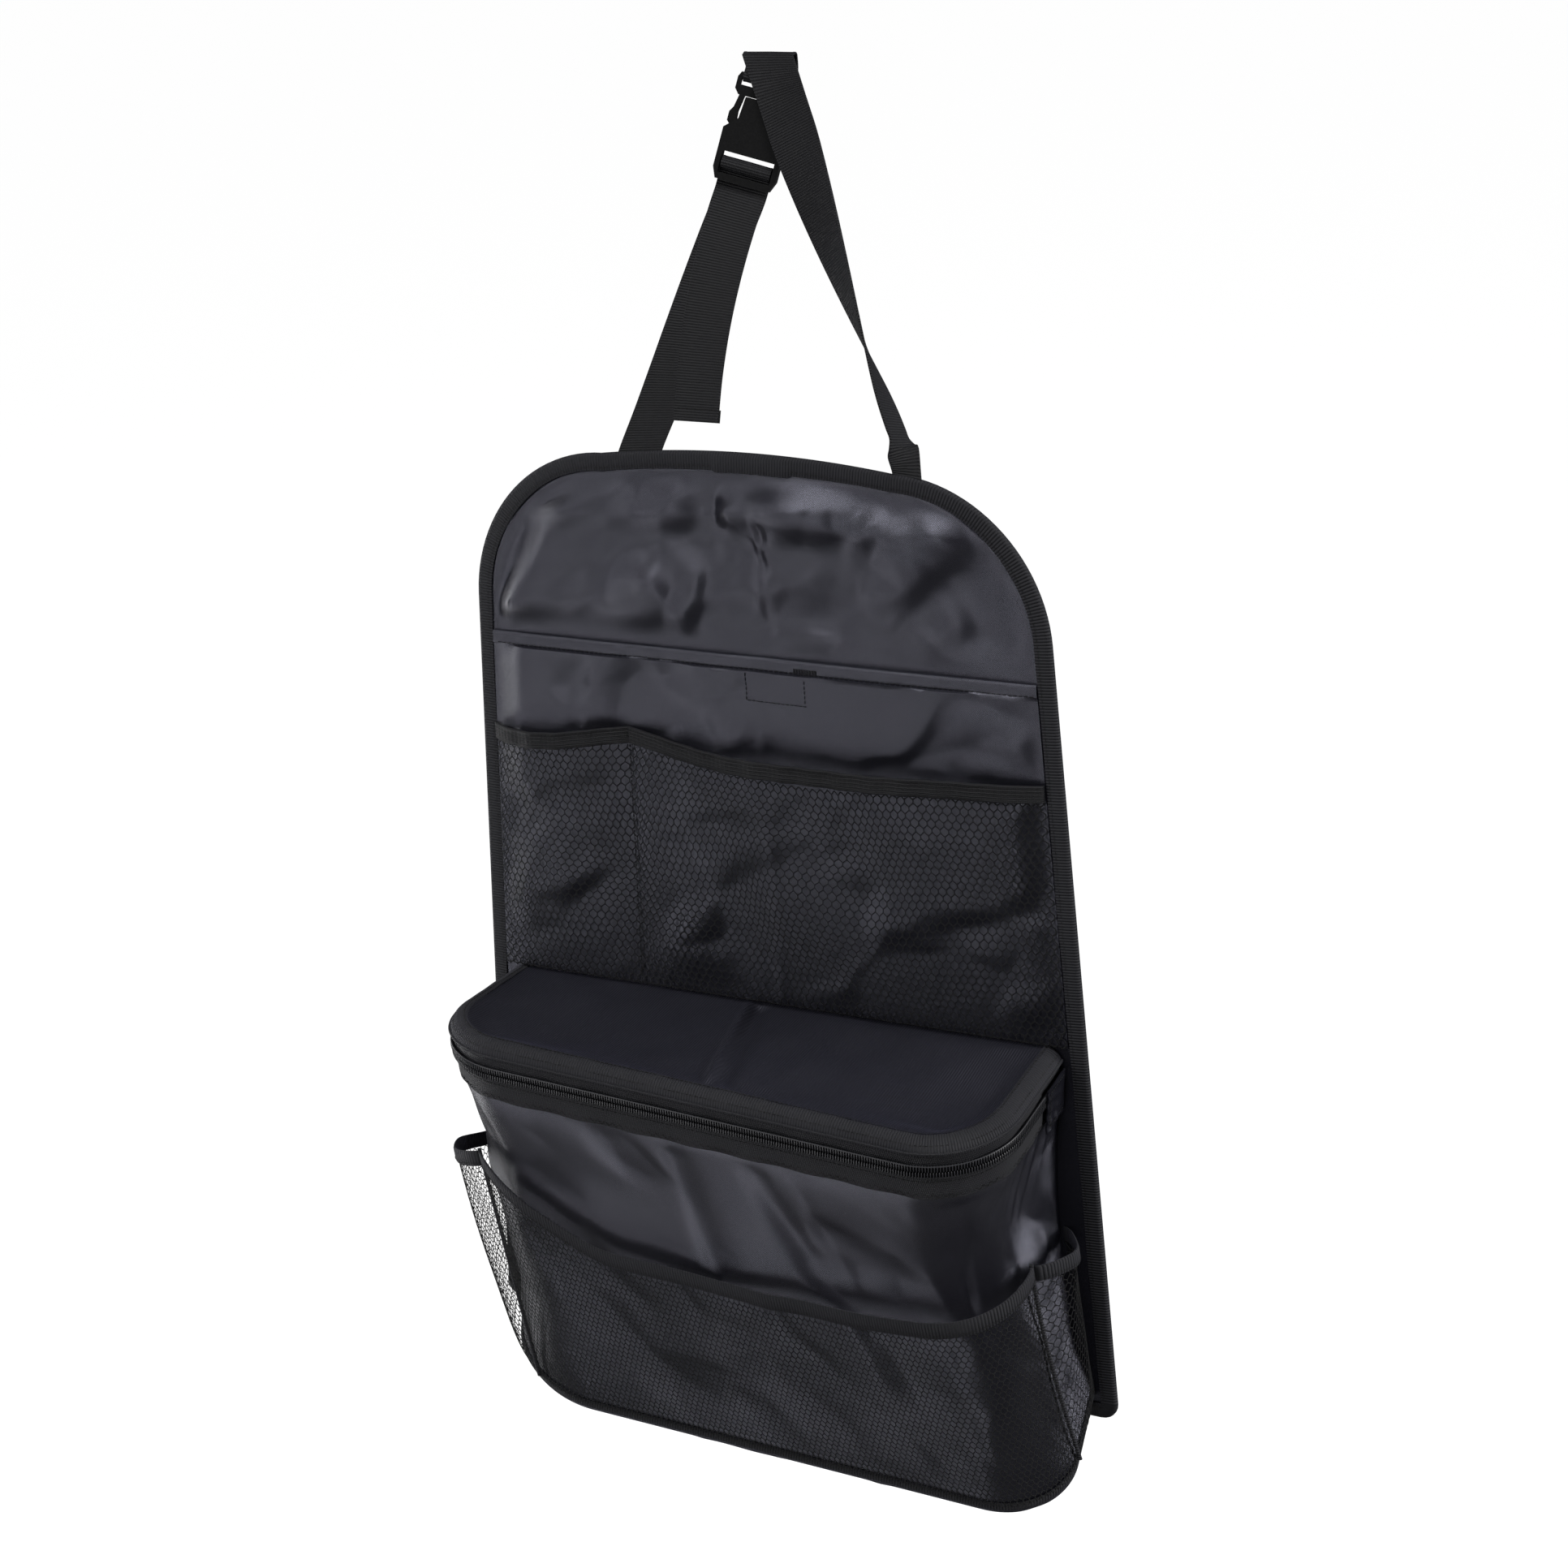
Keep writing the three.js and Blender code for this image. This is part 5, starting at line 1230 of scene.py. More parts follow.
    def ribbon(self, name: str, stands_for: str, top: float, bottom: float, lift: float) -> None:
        """A zip tape: a thin band on the wall between two heights."""
        k, lengths = self.shape.run(0.0, self.shape.last, 360)
        h = np.linspace(top, bottom, 11)
        wave = 0.25 * np.sin(k * 3.1)[:, None] * np.linspace(0, 1, len(h))[None]
        front = self.shape.wall(k[:, None], h[None] + wave * 1.2, lift + wave)
        back = self.shape.wall(k[:, None], h[None] + wave * 1.2, lift - 0.8 + wave)
        u, v = np.meshgrid(lengths, h, indexing="ij")
        mesh = PieceMesh()
        mesh.shell(front, back, np.stack([u, v], axis=-1))
        mesh.build(name, ZIP_CLOTH, stands_for)

    def teeth(self) -> None:
        """Both rows of the coil: bent loops side by side on a thin core."""
        template, faces = spindle()
        fine = np.linspace(0, self.shape.last, 600)
        length = arc_length(self.shape.wall(fine, np.full_like(fine, 16.0), 0.0))[-1]
        k, _ = self.shape.run(0.1, self.shape.last - 0.1, int(length / self.tooth_pitch), self.zip_centre)
        half_pitch = np.gradient(k) / 4
        rows = (("coil_upper_teeth", "zip_coil_upper", -1.0), ("coil_lower_teeth", "zip_coil_lower", 1.0))
        for name, stands_for, side in rows:
            h = np.full_like(k, self.zip_centre + side * (self.tooth_gap + self.tooth) / 2 * 0.92)
            centre = self.shape.wall(k + side * half_pitch, h, 0.7)
            out = self.shape.outward(k, h)
            up = facing(UPWARD, out)
            along = unit(np.cross(up, out))
            axes = np.stack([up * (self.tooth + self.tooth_gap) / 2, along * 0.62, out * 1.2], axis=1)
            mesh = PieceMesh()
            mesh.prisms(template, faces, centre, axes)
            core_h = h + side * 1.3
            core = self.shape.wall(k, core_h, 0.9)
            mesh.sweep(core, out, up, oval(6, 0.45, 0.45))
            mesh.build(name, COIL, stands_for)

    def folds(self, k: Array, h: Array) -> Array:
        """How far the slack wall falls in: broad folds that fade at its edges, and small creases."""
        u, d = self.shape.outline(k)
        fade = smooth((h - self.tape_bottom - 4) / 40) * smooth((self.wall_bottom - h) / 60) * smooth(d / 0.3)
        fold = np.sin(5.2 * u + 0.02 * h) + 0.5 * np.sin(11 * u - 1 + 0.03 * h)
        broad = -self.wall_fold * (0.75 - 0.5 * fold) * fade
        along = k * 16.0
        edge = smooth((h - self.tape_bottom + 2) / 12)
        small = drape(along - 270, h, 41, 4.0) * edge * smooth((self.wall_bottom - h) / 30)
        dent = 11 * np.exp(-(((along - 420) / 46) ** 2) - ((h - 84) / 34) ** 2)
        dent += ridge(along, h, (253, 40), (262, 100), 2.0, 6, 12)
        dent += ridge(along, h, (300, 38), (318, 84), 1.6, 8)
        crush = 2.6 * np.sin(along / 5.5 + h / 9)
        crush *= np.exp(-(((k - 30) / 2.5) ** 2)) * np.exp(-(((h - 48) / 18) ** 2))
        return broad + settled(small, 8.0, 1.0) - np.abs(crush) * 0.8 - dent * edge

    def wall(self) -> None:
        """The bag's wall in one piece, slack and creased."""
        k, lengths = self.shape.run(0.0, self.shape.last, 380, 90.0)
        h = np.linspace(self.wall_top, self.wall_bottom, 108)
        kk, hh = np.meshgrid(k, h, indexing="ij")
        out = -1.1 + self.folds(kk, hh)
        front = self.shape.wall(kk, hh, out)
        back = self.shape.wall(kk, hh, out - 1.4)
        u, v = np.meshgrid(lengths, h, indexing="ij")
        mesh = PieceMesh()
        mesh.shell(front, back, np.stack([u, v], axis=-1))
        mesh.build("bag_cloth_wall", TWILL_CLOTH, "bag_wall")

    def bottom(self) -> None:
        """The bag's bottom and the piped seam round it."""
        shape = self.shape
        rd, ru = shape.corner / shape.depth, shape.corner / shape.half_width
        depths = np.concatenate([
            np.linspace(0, 1 - rd, 20)[:-1], 1 - rd + rd * np.sin(np.linspace(0, math.pi / 2, 30)),
        ])[:, None]
        past = np.clip((depths - 1 + rd) / rd, 0, 1)
        u = (1 - ru + ru * np.sqrt(np.maximum(0, 1 - past**2))) * np.linspace(-1, 1, 120)[None]
        d = depths + 0 * u
        top = shape.point(u, d, np.full_like(u, shape.height))
        x, y = top[..., 0], top[..., 1]
        small = rumple(x, y, 51, 40, 50.0, 0.8) * smooth((1 - np.abs(u)) / 0.1)
        sag = 2.0 * np.sin(math.pi * d) * (1 - u**2) + small
        low = top.copy()
        low[..., 2] -= 1.7 + np.clip(sag, -0.6, 3.0) * smooth(d / 0.15)
        mesh = PieceMesh()
        mesh.shell(top, low, np.stack([x, y], axis=-1))
        mesh.build("bag_cloth_bottom", TWILL_CLOTH, "bag_bottom")
        k, _ = shape.run(0.0, shape.last, 360, shape.height)
        h = np.full_like(k, shape.height - 1.6)
        out = shape.outward(k, h)
        seam = PieceMesh()
        seam.sweep(shape.wall(k, h, -0.4), out, facing(UPWARD, out), oval(8, 1.5, 2.4))
        seam.build("bag_bottom_seam", EDGE_TAPE)

    def end_tab(self) -> None:
        """The cloth tab over the zip's closed end, puckered where it is sewn."""
        last = self.shape.last
        k = np.linspace(last - 0.15, last - 1.85, 46)
        h = np.linspace(self.band_lip + 1.0, self.band_lip + 27, 40)
        kk, hh = np.meshgrid(k, h, indexing="ij")
        a, b = (last - kk) * 12.5, hh
        pucker = 0.5 * np.sin(b * 0.9 + a * 0.3) * smooth(a / 8)
        pucker += 0.7 * np.sin(a * 0.8) * smooth((b - 20) / 12)
        out = 2.0 + pucker * 0.6
        mesh = PieceMesh()
        front = self.shape.wall(kk, hh, out + 1.0)
        back = self.shape.wall(kk, hh, out)
        mesh.shell(front, back, np.stack([a, b], axis=-1))
        mesh.build("zip_tab_cloth", TWILL_CLOTH, "zip_end_tab")
        seam = PieceMesh()
        corners = [(last - 0.3, 12), (last - 1.65, 12), (last - 1.65, 33), (last - 0.3, 33)]
        path = np.concatenate([np.linspace(a, b, 20) for a, b in zip(corners[:-1], corners[1:])])
        line = self.shape.wall(path[:, 0], path[:, 1], 3.4)
        seam.stitches(line, self.shape.outward(path[:, 0], path[:, 1]), 2.4, 0.5)
        seam.build("zip_tab_stitches", THREAD)

    def tape_stitches(self) -> None:
        """Zigzag along the lower tape's edge and a straight row near the teeth."""
        k, lengths = self.shape.run(0.1, self.shape.last - 0.1, 900, 30.0)
        swing = np.abs((lengths / 2.4) % 2 - 1) * 2.2
        seam = PieceMesh()
        zigzag = self.tape_bottom - 3.0 + swing
        seam.stitches(self.shape.wall(k, zigzag, 0.2), self.shape.outward(k, zigzag), 1.6, 0.45)
        row = np.full_like(k, self.tape_top + 2.0)
        seam.stitches(self.shape.wall(k, row, 0.15), self.shape.outward(k, row), 2.8, 0.45)
        seam.build("zip_tape_stitches", THREAD)

    def dress(self) -> None:
        """Builds the bag's pieces."""
        self.lid()
        self.lid_band()
        self.ribbon("zip_tape_top", "zip_tape_upper", self.band_lip - 2.0, self.coil_top + 1.4, -0.9)
        self.ribbon("zip_tape_bottom", "zip_tape_lower", self.tape_top - 0.6, self.tape_bottom, 0.1)
        self.teeth()
        self.wall()
        self.bottom()
        self.end_tab()
        self.tape_stitches()


@dataclass
class BagNets:
    """The three net pockets sewn on the bag, with their woven rims. Millimetres."""

    bag: ZipBag
    rim: float = 9.0
    rim_left: float = 74.0
    rim_right: float = 96.0
    rim_low: float = 106.0
    rim_panel: float = 110.0
    front_bulge: float = 8.0
    left_gape: float = 18.0
    right_gape: float = 16.0
    back: float = 0.9

    @property
    def left_seam(self) -> float:
        """Station of the seam in the middle of the left corner."""
        return self.bag.shape.side_steps + self.bag.shape.arc_steps / 2

    @property
    def right_seam(self) -> float:
        """Station of the seam where the right corner ends and the side begins."""
        return self.bag.shape.last - self.bag.shape.side_steps

    @property
    def bottom(self) -> float:
        """Height below the lid of the nets' bottom seam."""
        return self.bag.wall_bottom - 1.0

    def front_t(self, k: Array) -> Array:
        """Share of the way across the front net."""
        return np.clip((k - self.left_seam) / (self.right_seam - self.left_seam), 0, 1)

    def front_rim(self, k: Array) -> Array:
        """Height below the lid of the front rim's top: a drop at its left, then nearly level."""
        t = self.front_t(k)
        drop = (self.rim_low - self.rim_left) * smooth(t / 0.26)
        return self.rim_left + drop - (self.rim_low - self.rim_right) * smooth((t - 0.55) / 0.45)

    def front_out(self, k: Array, h: Array) -> Array:
        """How far the front net stands out: an arch across, fullest a third of the way down."""
        t = self.front_t(k)
        rim = self.front_rim(k)
        down = np.clip((h - rim) / (self.bottom - rim), 0, 1)
        crease = 2.5 * np.exp(-(((t - 0.5) / 0.03) ** 2))
        sway = 0.8 * np.sin(t * 31 + down * 2) * np.sin(math.pi * t) * (1 - down)
        full = self.front_bulge * np.sin(math.pi * t) ** 0.6 + crease + sway
        return self.back + np.maximum(full, 0) * np.sin(math.pi * (0.3 + 0.69 * down))

    def side_t(self, k: Array) -> Array:
        """Share of the way from the panel to a side net's front seam."""
        last = self.bag.shape.last
        left, right = k / self.left_seam, (last - k) / (last - self.right_seam)
        return np.clip(np.where(k < last / 2, left, right), 0, 1)

    def side_rim(self, k: Array) -> Array:
        """Height below the lid of a side rim's top, lower at the panel."""
        end = np.where(k < self.bag.shape.last / 2, self.rim_left, self.rim_right)
        return lerp(self.rim_panel, end, self.side_t(k))

    def side_out(self, gape: float) -> Field:
        """How far a side net stands out: widest at its rim, tight at its foot."""

        def out(k: Array, h: Array) -> Array:
            """Distance out at station k and height h."""
            rim = self.side_rim(k)
            down = np.clip((h - rim) / (self.bottom - rim), 0, 1)
            arch = np.sin(math.pi * self.side_t(k)) ** 0.7
            wave = 0.8 * np.sin(k * 2.6 + h / 17)
            return self.back + np.maximum(gape + wave, 0) * arch * (1 - down) ** 0.6

        return out

    def pocket(
        self, name: str, ends: tuple[float, float], rim: Callable[[Array], Array], out: Field, knit: NetKnit,
    ) -> None:
        """One net pocket.

        Args:
            name: the side it is on, which begins the names of its pieces and nodes.
            ends: stations where it begins and ends.
            rim: height of the rim's top at a station.
            out: distance the net stands out.
            knit: the net's cells.
        """
        shape = self.bag.shape
        k, lengths = shape.run(ends[0], ends[1], 260, 140.0)
        width = lengths[-1]

        def station(u: Array) -> Array:
            """The station at distance u along the net."""
            return np.interp(u, lengths, k)

        def top(u: Array) -> Array:
            """The net's height above its bottom seam."""
            return self.bottom - rim(station(u)) - self.rim + 1.0

        def place(u: Array, v: Array) -> Array:
            """The net's own surface."""
            at, h = station(u), self.bottom - v
            return shape.wall(at, h, out(at, h) + 0.4)

        mesh = PieceMesh()
        knit.fill(mesh, width, top, place)
        mesh.build(f"{name}_mesh", MESH_YARN, f"{name}_net")
        self.rim_band(name, k, lengths, rim(k), out)

    def rim_band(self, name: str, k: Array, lengths: Array, top: Array, out: Field) -> None:
        """The folded woven band along a net's top, with its stitches."""
        shape = self.bag.shape
        line = np.array([
            (0.0, 0.3), (-0.1, self.rim), (1.2, self.rim + 0.1), (1.7, self.rim - 0.8),
            (1.75, 5.0), (1.7, 1.4), (1.2, 0.1), (0.5, -0.1),
        ])
        stand = out(k, top)
        points = shape.wall(k[:, None], top[:, None] + line[None, :, 1], stand[:, None] + line[None, :, 0])
        mesh = PieceMesh()
        mesh.band(points, lengths, line)
        mesh.build(f"{name}_rim", EDGE_TAPE, f"{name}_net_rim")
        seam = PieceMesh()
        row = top + self.rim - 1.8
        seam.stitches(shape.wall(k, row, stand + 1.8), shape.outward(k, row), 2.7, 0.5)
        seam.build(f"{name}_rim_stitches", THREAD)

    def corner_seam(self, name: str, k: float) -> None:
        """The bound seam where the front net meets a side net."""
        shape = self.bag.shape
        h = np.linspace(float(self.front_rim(np.array(k))) - 1, self.bottom + 1, 60)
        at = np.full_like(h, k)
        centre = shape.wall(at, h, 1.6)
        out = shape.outward(at, h)
        up = tangents(centre)
        side = unit(np.cross(out, up))
        ring = np.array([(-1.1, -0.9), (-1.1, 0.5), (-0.5, 1.1), (0.5, 1.1), (1.1, 0.5), (1.1, -0.9)])
        mesh = PieceMesh()
        mesh.sweep(centre, side, out, ring)
        mesh.build(name, EDGE_TAPE)

    def dress(self) -> None:
        """Builds the three pockets and their corner seams."""
        last, left, right = self.bag.shape.last, self.left_seam, self.right_seam
        fine, side = NetKnit(3.4, 3.0, 0.66), NetKnit(4.2, 3.7, 0.6)
        left_out, right_out = self.side_out(self.left_gape), self.side_out(self.right_gape)
        self.pocket("front", (left + 0.05, right - 0.05), self.front_rim, self.front_out, fine)
        self.pocket("left", (0.02, left - 0.05), self.side_rim, left_out, side)
        self.pocket("right", (right + 0.05, last - 0.02), self.side_rim, right_out, side)
        self.corner_seam("left_corner_seam", left)
        self.corner_seam("right_corner_seam", right)


# Straps and buckle


@dataclass
class StrapFrames:
    """Centre, width direction and face direction along a strap."""

    centre: Array
    across: Array
    face: Array

    def finer(self, steps: int) -> "StrapFrames":
        """The same strap with more stations, smoothly between."""
        return StrapFrames(*[rounded_path(v, steps) for v in (self.centre, self.across, self.face)])


@dataclass
class HangingStraps:
    """The webbing loop: long strap, short strap with its tail, and the buckle's places. Millimetres."""

    panel: BackPanel
    apex_z: float = 488.0
    apex_y: float = 55.0
    width: float = 29.0
    thickness: float = 1.3
    fold: float = 2.2
    long_x: float = 101.0
    short_x: float = -66.0
    root_y: float = -2.5
    root_twist: float = 12.0
    root_pinch: float = 0.6
    twist_start: float = 45.0
    twist_per_mm: float = 0.6
    bow: float = 4.0
    tail_end: tuple[float, float, float] = (-29.0, 294.0, 6.0)
    buckle_top: float = 11.0
    buckle_tilt: float = 13.0
    buckle_turn: float = 20.0
    setback: float = 9.0
    bar: float = 3.0
    bar_c: float = 2.8
    mid_bar: float = 49.9
    end_bar: float = 57.7
    buckle_end: float = 59.4

    def __post_init__(self) -> None:
        """Works out the strap's plane and the buckle's directions."""
        rise = self.apex_z - self.panel.top
        lean = math.atan2(self.apex_y, rise)
        self.down = np.array([0.0, -math.sin(lean), -math.cos(lean)])
        self.front = np.array([0.0, -math.cos(lean), math.sin(lean)])
        self.run = rise / math.cos(lean)
        self.apex = np.array([0.0, self.apex_y, self.apex_z])
        self.long_slope = self.long_x / self.run
        self.short_slope = -self.short_x / self.run
        tilt, turn = math.radians(self.buckle_tilt), math.radians(-self.buckle_turn)
        sideways = np.array([math.cos(tilt), 0, 0]) + self.down * math.sin(tilt)
        self.b_down = np.array([-math.sin(tilt), 0, 0]) + self.down * math.cos(tilt)
        self.b_across = sideways * math.cos(turn) + self.front * math.sin(turn)
        self.b_front = self.front * math.cos(turn) - sideways * math.sin(turn)
        self.b_origin = self.at(-self.buckle_top * self.short_slope, self.buckle_top, -self.setback)
        self.wrap = math.hypot(self.bar, self.bar) / 2 + 0.3 + self.thickness / 2
        self.tail_c = self.bar_c + 0.8 - 0.3 - self.thickness / 2 - 0.15

    def at(self, x: float, down: float, front: float) -> Array:
        """A point on the strap's leaning plane."""
        return self.apex + self.down * down + self.front * front + np.array([x, 0.0, 0.0])

    def in_buckle(self, b: float, c: float, degrees: float) -> tuple[Array, Array, Array]:
        """A webbing frame in the buckle, b down and c to the front, its face turned."""
        a = math.radians(degrees)
        face = self.b_down * math.sin(a) + self.b_front * math.cos(a)
        return self.b_origin + self.b_down * b + self.b_front * c, self.b_across.copy(), face

    def edge_z(self, x: float) -> float:
        """Height of the panel's bound top edge."""
        return float(self.panel.inner_top_at(np.array(x))) + self.panel.tape

    def root(self, x: float, facing: float) -> list[tuple[Array, Array, Array]]:
        """The strap's sewn end, going down behind the front leaf of the tape."""
        slope = (self.edge_z(x + 1) - self.edge_z(x - 1)) / 2
        along = np.array([1.0, 0.0, slope]) * facing
        face = np.array([0.0, -facing, 0.0])
        edge = self.edge_z(x)
        return [(np.array([x, self.root_y, edge + dz]), along, face) for dz in (-4.0, 0.3)]

    def long_frames(self) -> StrapFrames:
        """Half a turn on the way up, over the fold, down to a loop round the male bar."""
        angle = math.atan(self.long_slope)
        flat = np.array([math.cos(angle), 0, 0]) - self.down * math.sin(angle)
        square = np.array([1 / math.cos(angle), 0, 0])
        frames = [(c, a * self.root_pinch, f) for c, a, f in self.root(self.long_x, -1)]
        for i in range(32):
            above = (self.run - 3) * ((i + 1) / 32) ** 1.3 + 3
            down = max(0.0, self.run - above)
            near = 1 - float(smooth(above / self.root_twist))
            turn = math.radians(lerp(self.twist_per_mm * max(0.0, down - self.twist_start), 180.0, near))
            wide = lerp(square, flat, float(smooth(down / 30)))
            bow = self.bow * math.sin(math.pi * min(max(down / self.run, 0), 1))
            front = self.fold * (1 - down / self.run) + bow - self.root_y * near
            pinch = lerp(self.root_pinch, 1.0, float(smooth(above / 45)))
            across = (wide * math.cos(turn) + self.front * math.sin(turn)) * pinch
            face = self.front * math.cos(turn) - unit(wide) * math.sin(turn)
            frames.append((self.at(self.long_slope * down, down, front), across, face))
        for i in range(7):
            a = math.pi * (i + 1) / 8
            out = self.front * math.cos(a) - self.down * math.sin(a)
            frames.append((self.apex + out * self.fold, square, out))
        return self.gather(frames + self.male_loop(square))

    def male_loop(self, square: Array) -> list[tuple[Array, Array, Array]]:
        """Round the bar of the buckle's male half, and its short sewn end."""
        rear = self.bar_c - self.wrap
        front = lerp(-self.fold, rear - self.setback, 0.55)
        frames = [(self.at(-1.2, 4, front), lerp(square, self.b_across, 0.5), -self.front)]
        frames.append(self.in_buckle(-1.6, rear, 180))
        for i in range(7):
            a = math.pi * i / 6
            b, c = self.bar / 2 + self.wrap * math.sin(a), self.bar_c - self.wrap * math.cos(a)
            frames.append(self.in_buckle(b, c, 180 - 30 * i))
        return frames + [self.in_buckle(-3, self.bar_c + self.wrap - 0.2, 0)]

    def short_frames(self) -> StrapFrames:
        """Up behind the ladder bars, over the middle one, out under the end one, and the tail."""
        frames = self.root(self.short_x, 1)
        start, low = frames[-1][0], self.in_buckle(self.buckle_end + 6, self.bar_c - self.wrap, 0)[0]
        for i in range(6):
            t = (i + 1) / 6
            ease = float(smooth(t))
            across = unit(lerp(frames[0][1], self.b_across, ease))
            face = unit(lerp(self.front, self.b_front, ease))
            frames.append((lerp(start, low, t), across, face))
        for i in range(6):
            a = math.pi * i / 5 * 0.75
            b, c = self.mid_bar - self.wrap * math.sin(a), self.bar_c - self.wrap * math.cos(a)
            frames.append(self.in_buckle(b, c, math.degrees(a)))
        end = self.end_bar - self.mid_bar
        through = [
            (0.0, self.bar_c + self.wrap, 180), (2.17, self.bar_c + 2.2, 222), (4.0, self.bar_c + 0.6, 212),
            (6.1, self.tail_c, 192), (end, self.tail_c, 180),
            (self.buckle_end - self.mid_bar + 3, self.tail_c + 0.3, 178),
        ]
        frames += [self.in_buckle(self.mid_bar + b, c, turn) for b, c, turn in through]
        return self.gather(frames + self.tail())

    def tail(self) -> list[tuple[Array, Array, Array]]:
        """The free end, a cubic from the buckle down to its hem."""
        start = self.in_buckle(self.buckle_end + 5, self.tail_c + 0.6, 0)[0]
        x, z, forward = self.tail_end
        end = self.at(x, self.run * (self.apex_z - z) / (self.apex_z - self.panel.top), forward)
        control = [start, start + self.b_down * 24 + self.front * 4, end - self.down * 60, end]
        frames = []
        for i in range(9):
            t = i / 8
            weights = [(1 - t) ** 3, 3 * t * (1 - t) ** 2, 3 * t * t * (1 - t), t**3]
            point = sum(w * c for w, c in zip(weights, control))
            across = unit(lerp(self.b_across, np.array([1.0, 0.0, 0.0]), float(smooth(t))))
            frames.append((point, across, -unit(lerp(self.b_front, self.front, float(smooth(t))))))
        return frames

    def gather(self, frames: list[tuple[Array, Array, Array]]) -> StrapFrames:
        """Frames as arrays."""
        return StrapFrames(*[np.array([f[i] for f in frames]) for i in range(3)])

    def webbing(self, name: str, node: str, frames: StrapFrames) -> StrapFrames:
        """A strap: flat webbing with rounded edges, swept along its frames."""
        w, t = self.width / 2, self.thickness / 2
        ring = np.array([
            (-w, 0), (-w + 0.3, -t), (-w + 1.2, -t), (-w + 1.7, -t + 0.12), (0, -t), (w - 1.7, -t + 0.12),
            (w - 1.2, -t), (w - 0.3, -t), (w, 0), (w - 0.3, t), (w - 1.2, t), (w - 1.7, t - 0.12),
            (0, t), (-w + 1.7, t - 0.12), (-w + 1.2, t), (-w + 0.3, t),
        ])
        fine = frames.finer(5)
        mesh = PieceMesh()
        mesh.sweep(fine.centre, fine.across, unit(fine.face), ring)
        mesh.build(name, BELT, node)
        return fine

    def tail_hem(self, fine: StrapFrames) -> None:
        """The tail's doubled end and its row of stitches."""
        w, t = self.width / 2 - 0.1, self.thickness / 2
        count = 9
        last = StrapFrames(fine.centre[-count:], fine.across[-count:], unit(fine.face[-count:]))
        ring = np.array([(-w, t), (w, t), (w, 3 * t - 0.1), (-w, 3 * t - 0.1)])
        mesh = PieceMesh()
        keep = arc_length(last.centre[::-1])[::-1] <= 9.0
        mesh.sweep(last.centre[keep], last.across[keep], last.face[keep], ring)
        mesh.build("tail_hem", BELT)
        seam = PieceMesh()
        spot = np.argmin(np.abs(arc_length(last.centre[::-1])[::-1] - 6.5))
        side = np.linspace(-w + 1, w - 1, 20)[:, None]
        for sign, lift in ((1.0, 3 * t), (-1.0, t)):
            line = last.centre[spot] + last.across[spot] * side + sign * last.face[spot] * lift
            seam.stitches(line, np.broadcast_to(sign * last.face[spot], line.shape), 2.6, 0.6)
        seam.build("tail_stitches", THREAD)

    def buckle(self) -> None:
        """Both halves: the CAD shells with their edges rounded, in satin plastic."""
        for node in ("buckle_male", "buckle_female"):
            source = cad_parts[node]
            mesh = source.data.copy()
            work = bmesh.new()
            work.from_mesh(mesh)
            bmesh.ops.remove_doubles(work, verts=work.verts, dist=1e-5)
            bmesh.ops.dissolve_limit(work, angle_limit=0.02, verts=work.verts, edges=work.edges)
            bmesh.ops.recalc_face_normals(work, faces=work.faces)
            work.to_mesh(mesh)
            work.free()
            mesh.transform(source.matrix_world)
            mesh.materials.clear()
            mesh.materials.append(BUCKLE_PLASTIC.material())
            piece = bpy.data.objects.new(node + "_shell", mesh)
            bpy.context.scene.collection.objects.link(piece)
            bevel = piece.modifiers.new("edges", "BEVEL")
            bevel.width = 0.55 * MM
            bevel.segments = 3
            bevel.limit_method = "ANGLE"
            bevel.angle_limit = math.radians(35)
            bevel.harden_normals = True
            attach(piece, ROOT_BODY)
            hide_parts(node)
            LOG.info("%s dressed", node)

    def dress(self) -> None:
        """Builds the straps, the tail's hem and the buckle."""
        self.webbing("long_webbing", "long_strap", self.long_frames())
        fine = self.webbing("short_webbing", "short_strap", self.short_frames())
        self.tail_hem(fine)
        self.buckle()


def dress_slider() -> None:
    """The slider and its pull keep their CAD shape and get dark enamel."""
    for node in ("zip_slider", "zip_pull"):
        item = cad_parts[node]
        item.data.materials.clear()
        item.data.materials.append(SLIDER_ENAMEL.material())
        LOG.info("%s dressed", node)


# Studio


@dataclass(frozen=True)
class PhotoCamera:
    """The camera fitted to the photograph's panel, strap and bag."""

    focal_px: float = 4200.0
    image_px: float = 1932.0
    yaw: float = 29.591
    pitch: float = 19.077
    roll: float = -3.546
    aside: float = -33.99
    above: float = -382.92
    away: float = 1816.44
    origin_z: float = 491.0
    sensor: float = 36.0

    def build(self) -> None:
        """Places the camera and makes it the scene's."""
        yaw, pitch, roll = (math.radians(v) for v in (self.yaw, self.pitch, self.roll))
        look = np.array([-math.sin(yaw) * math.cos(pitch), math.cos(yaw) * math.cos(pitch), -math.sin(pitch)])
        level = np.array([math.cos(yaw), math.sin(yaw), 0.0])
        rise = np.cross(level, look)
        right = math.cos(roll) * level + math.sin(roll) * rise
        up = -math.sin(roll) * level + math.cos(roll) * rise
        centre = -self.aside * right + self.above * up - self.away * look
        centre = centre + np.array([0.0, 0.0, self.origin_z])
        data = bpy.data.cameras.new("photo_camera")
        data.sensor_width = self.sensor
        data.lens = self.focal_px * self.sensor / self.image_px
        data.clip_end = 200.0
        camera = bpy.data.objects.new("photo_camera", data)
        rows = np.stack([right, up, -look, centre * MM], axis=1)
        camera.matrix_world = Matrix([*rows.tolist(), [0.0, 0.0, 0.0, 1.0]])
        bpy.context.scene.collection.objects.link(camera)
        bpy.context.scene.camera = camera


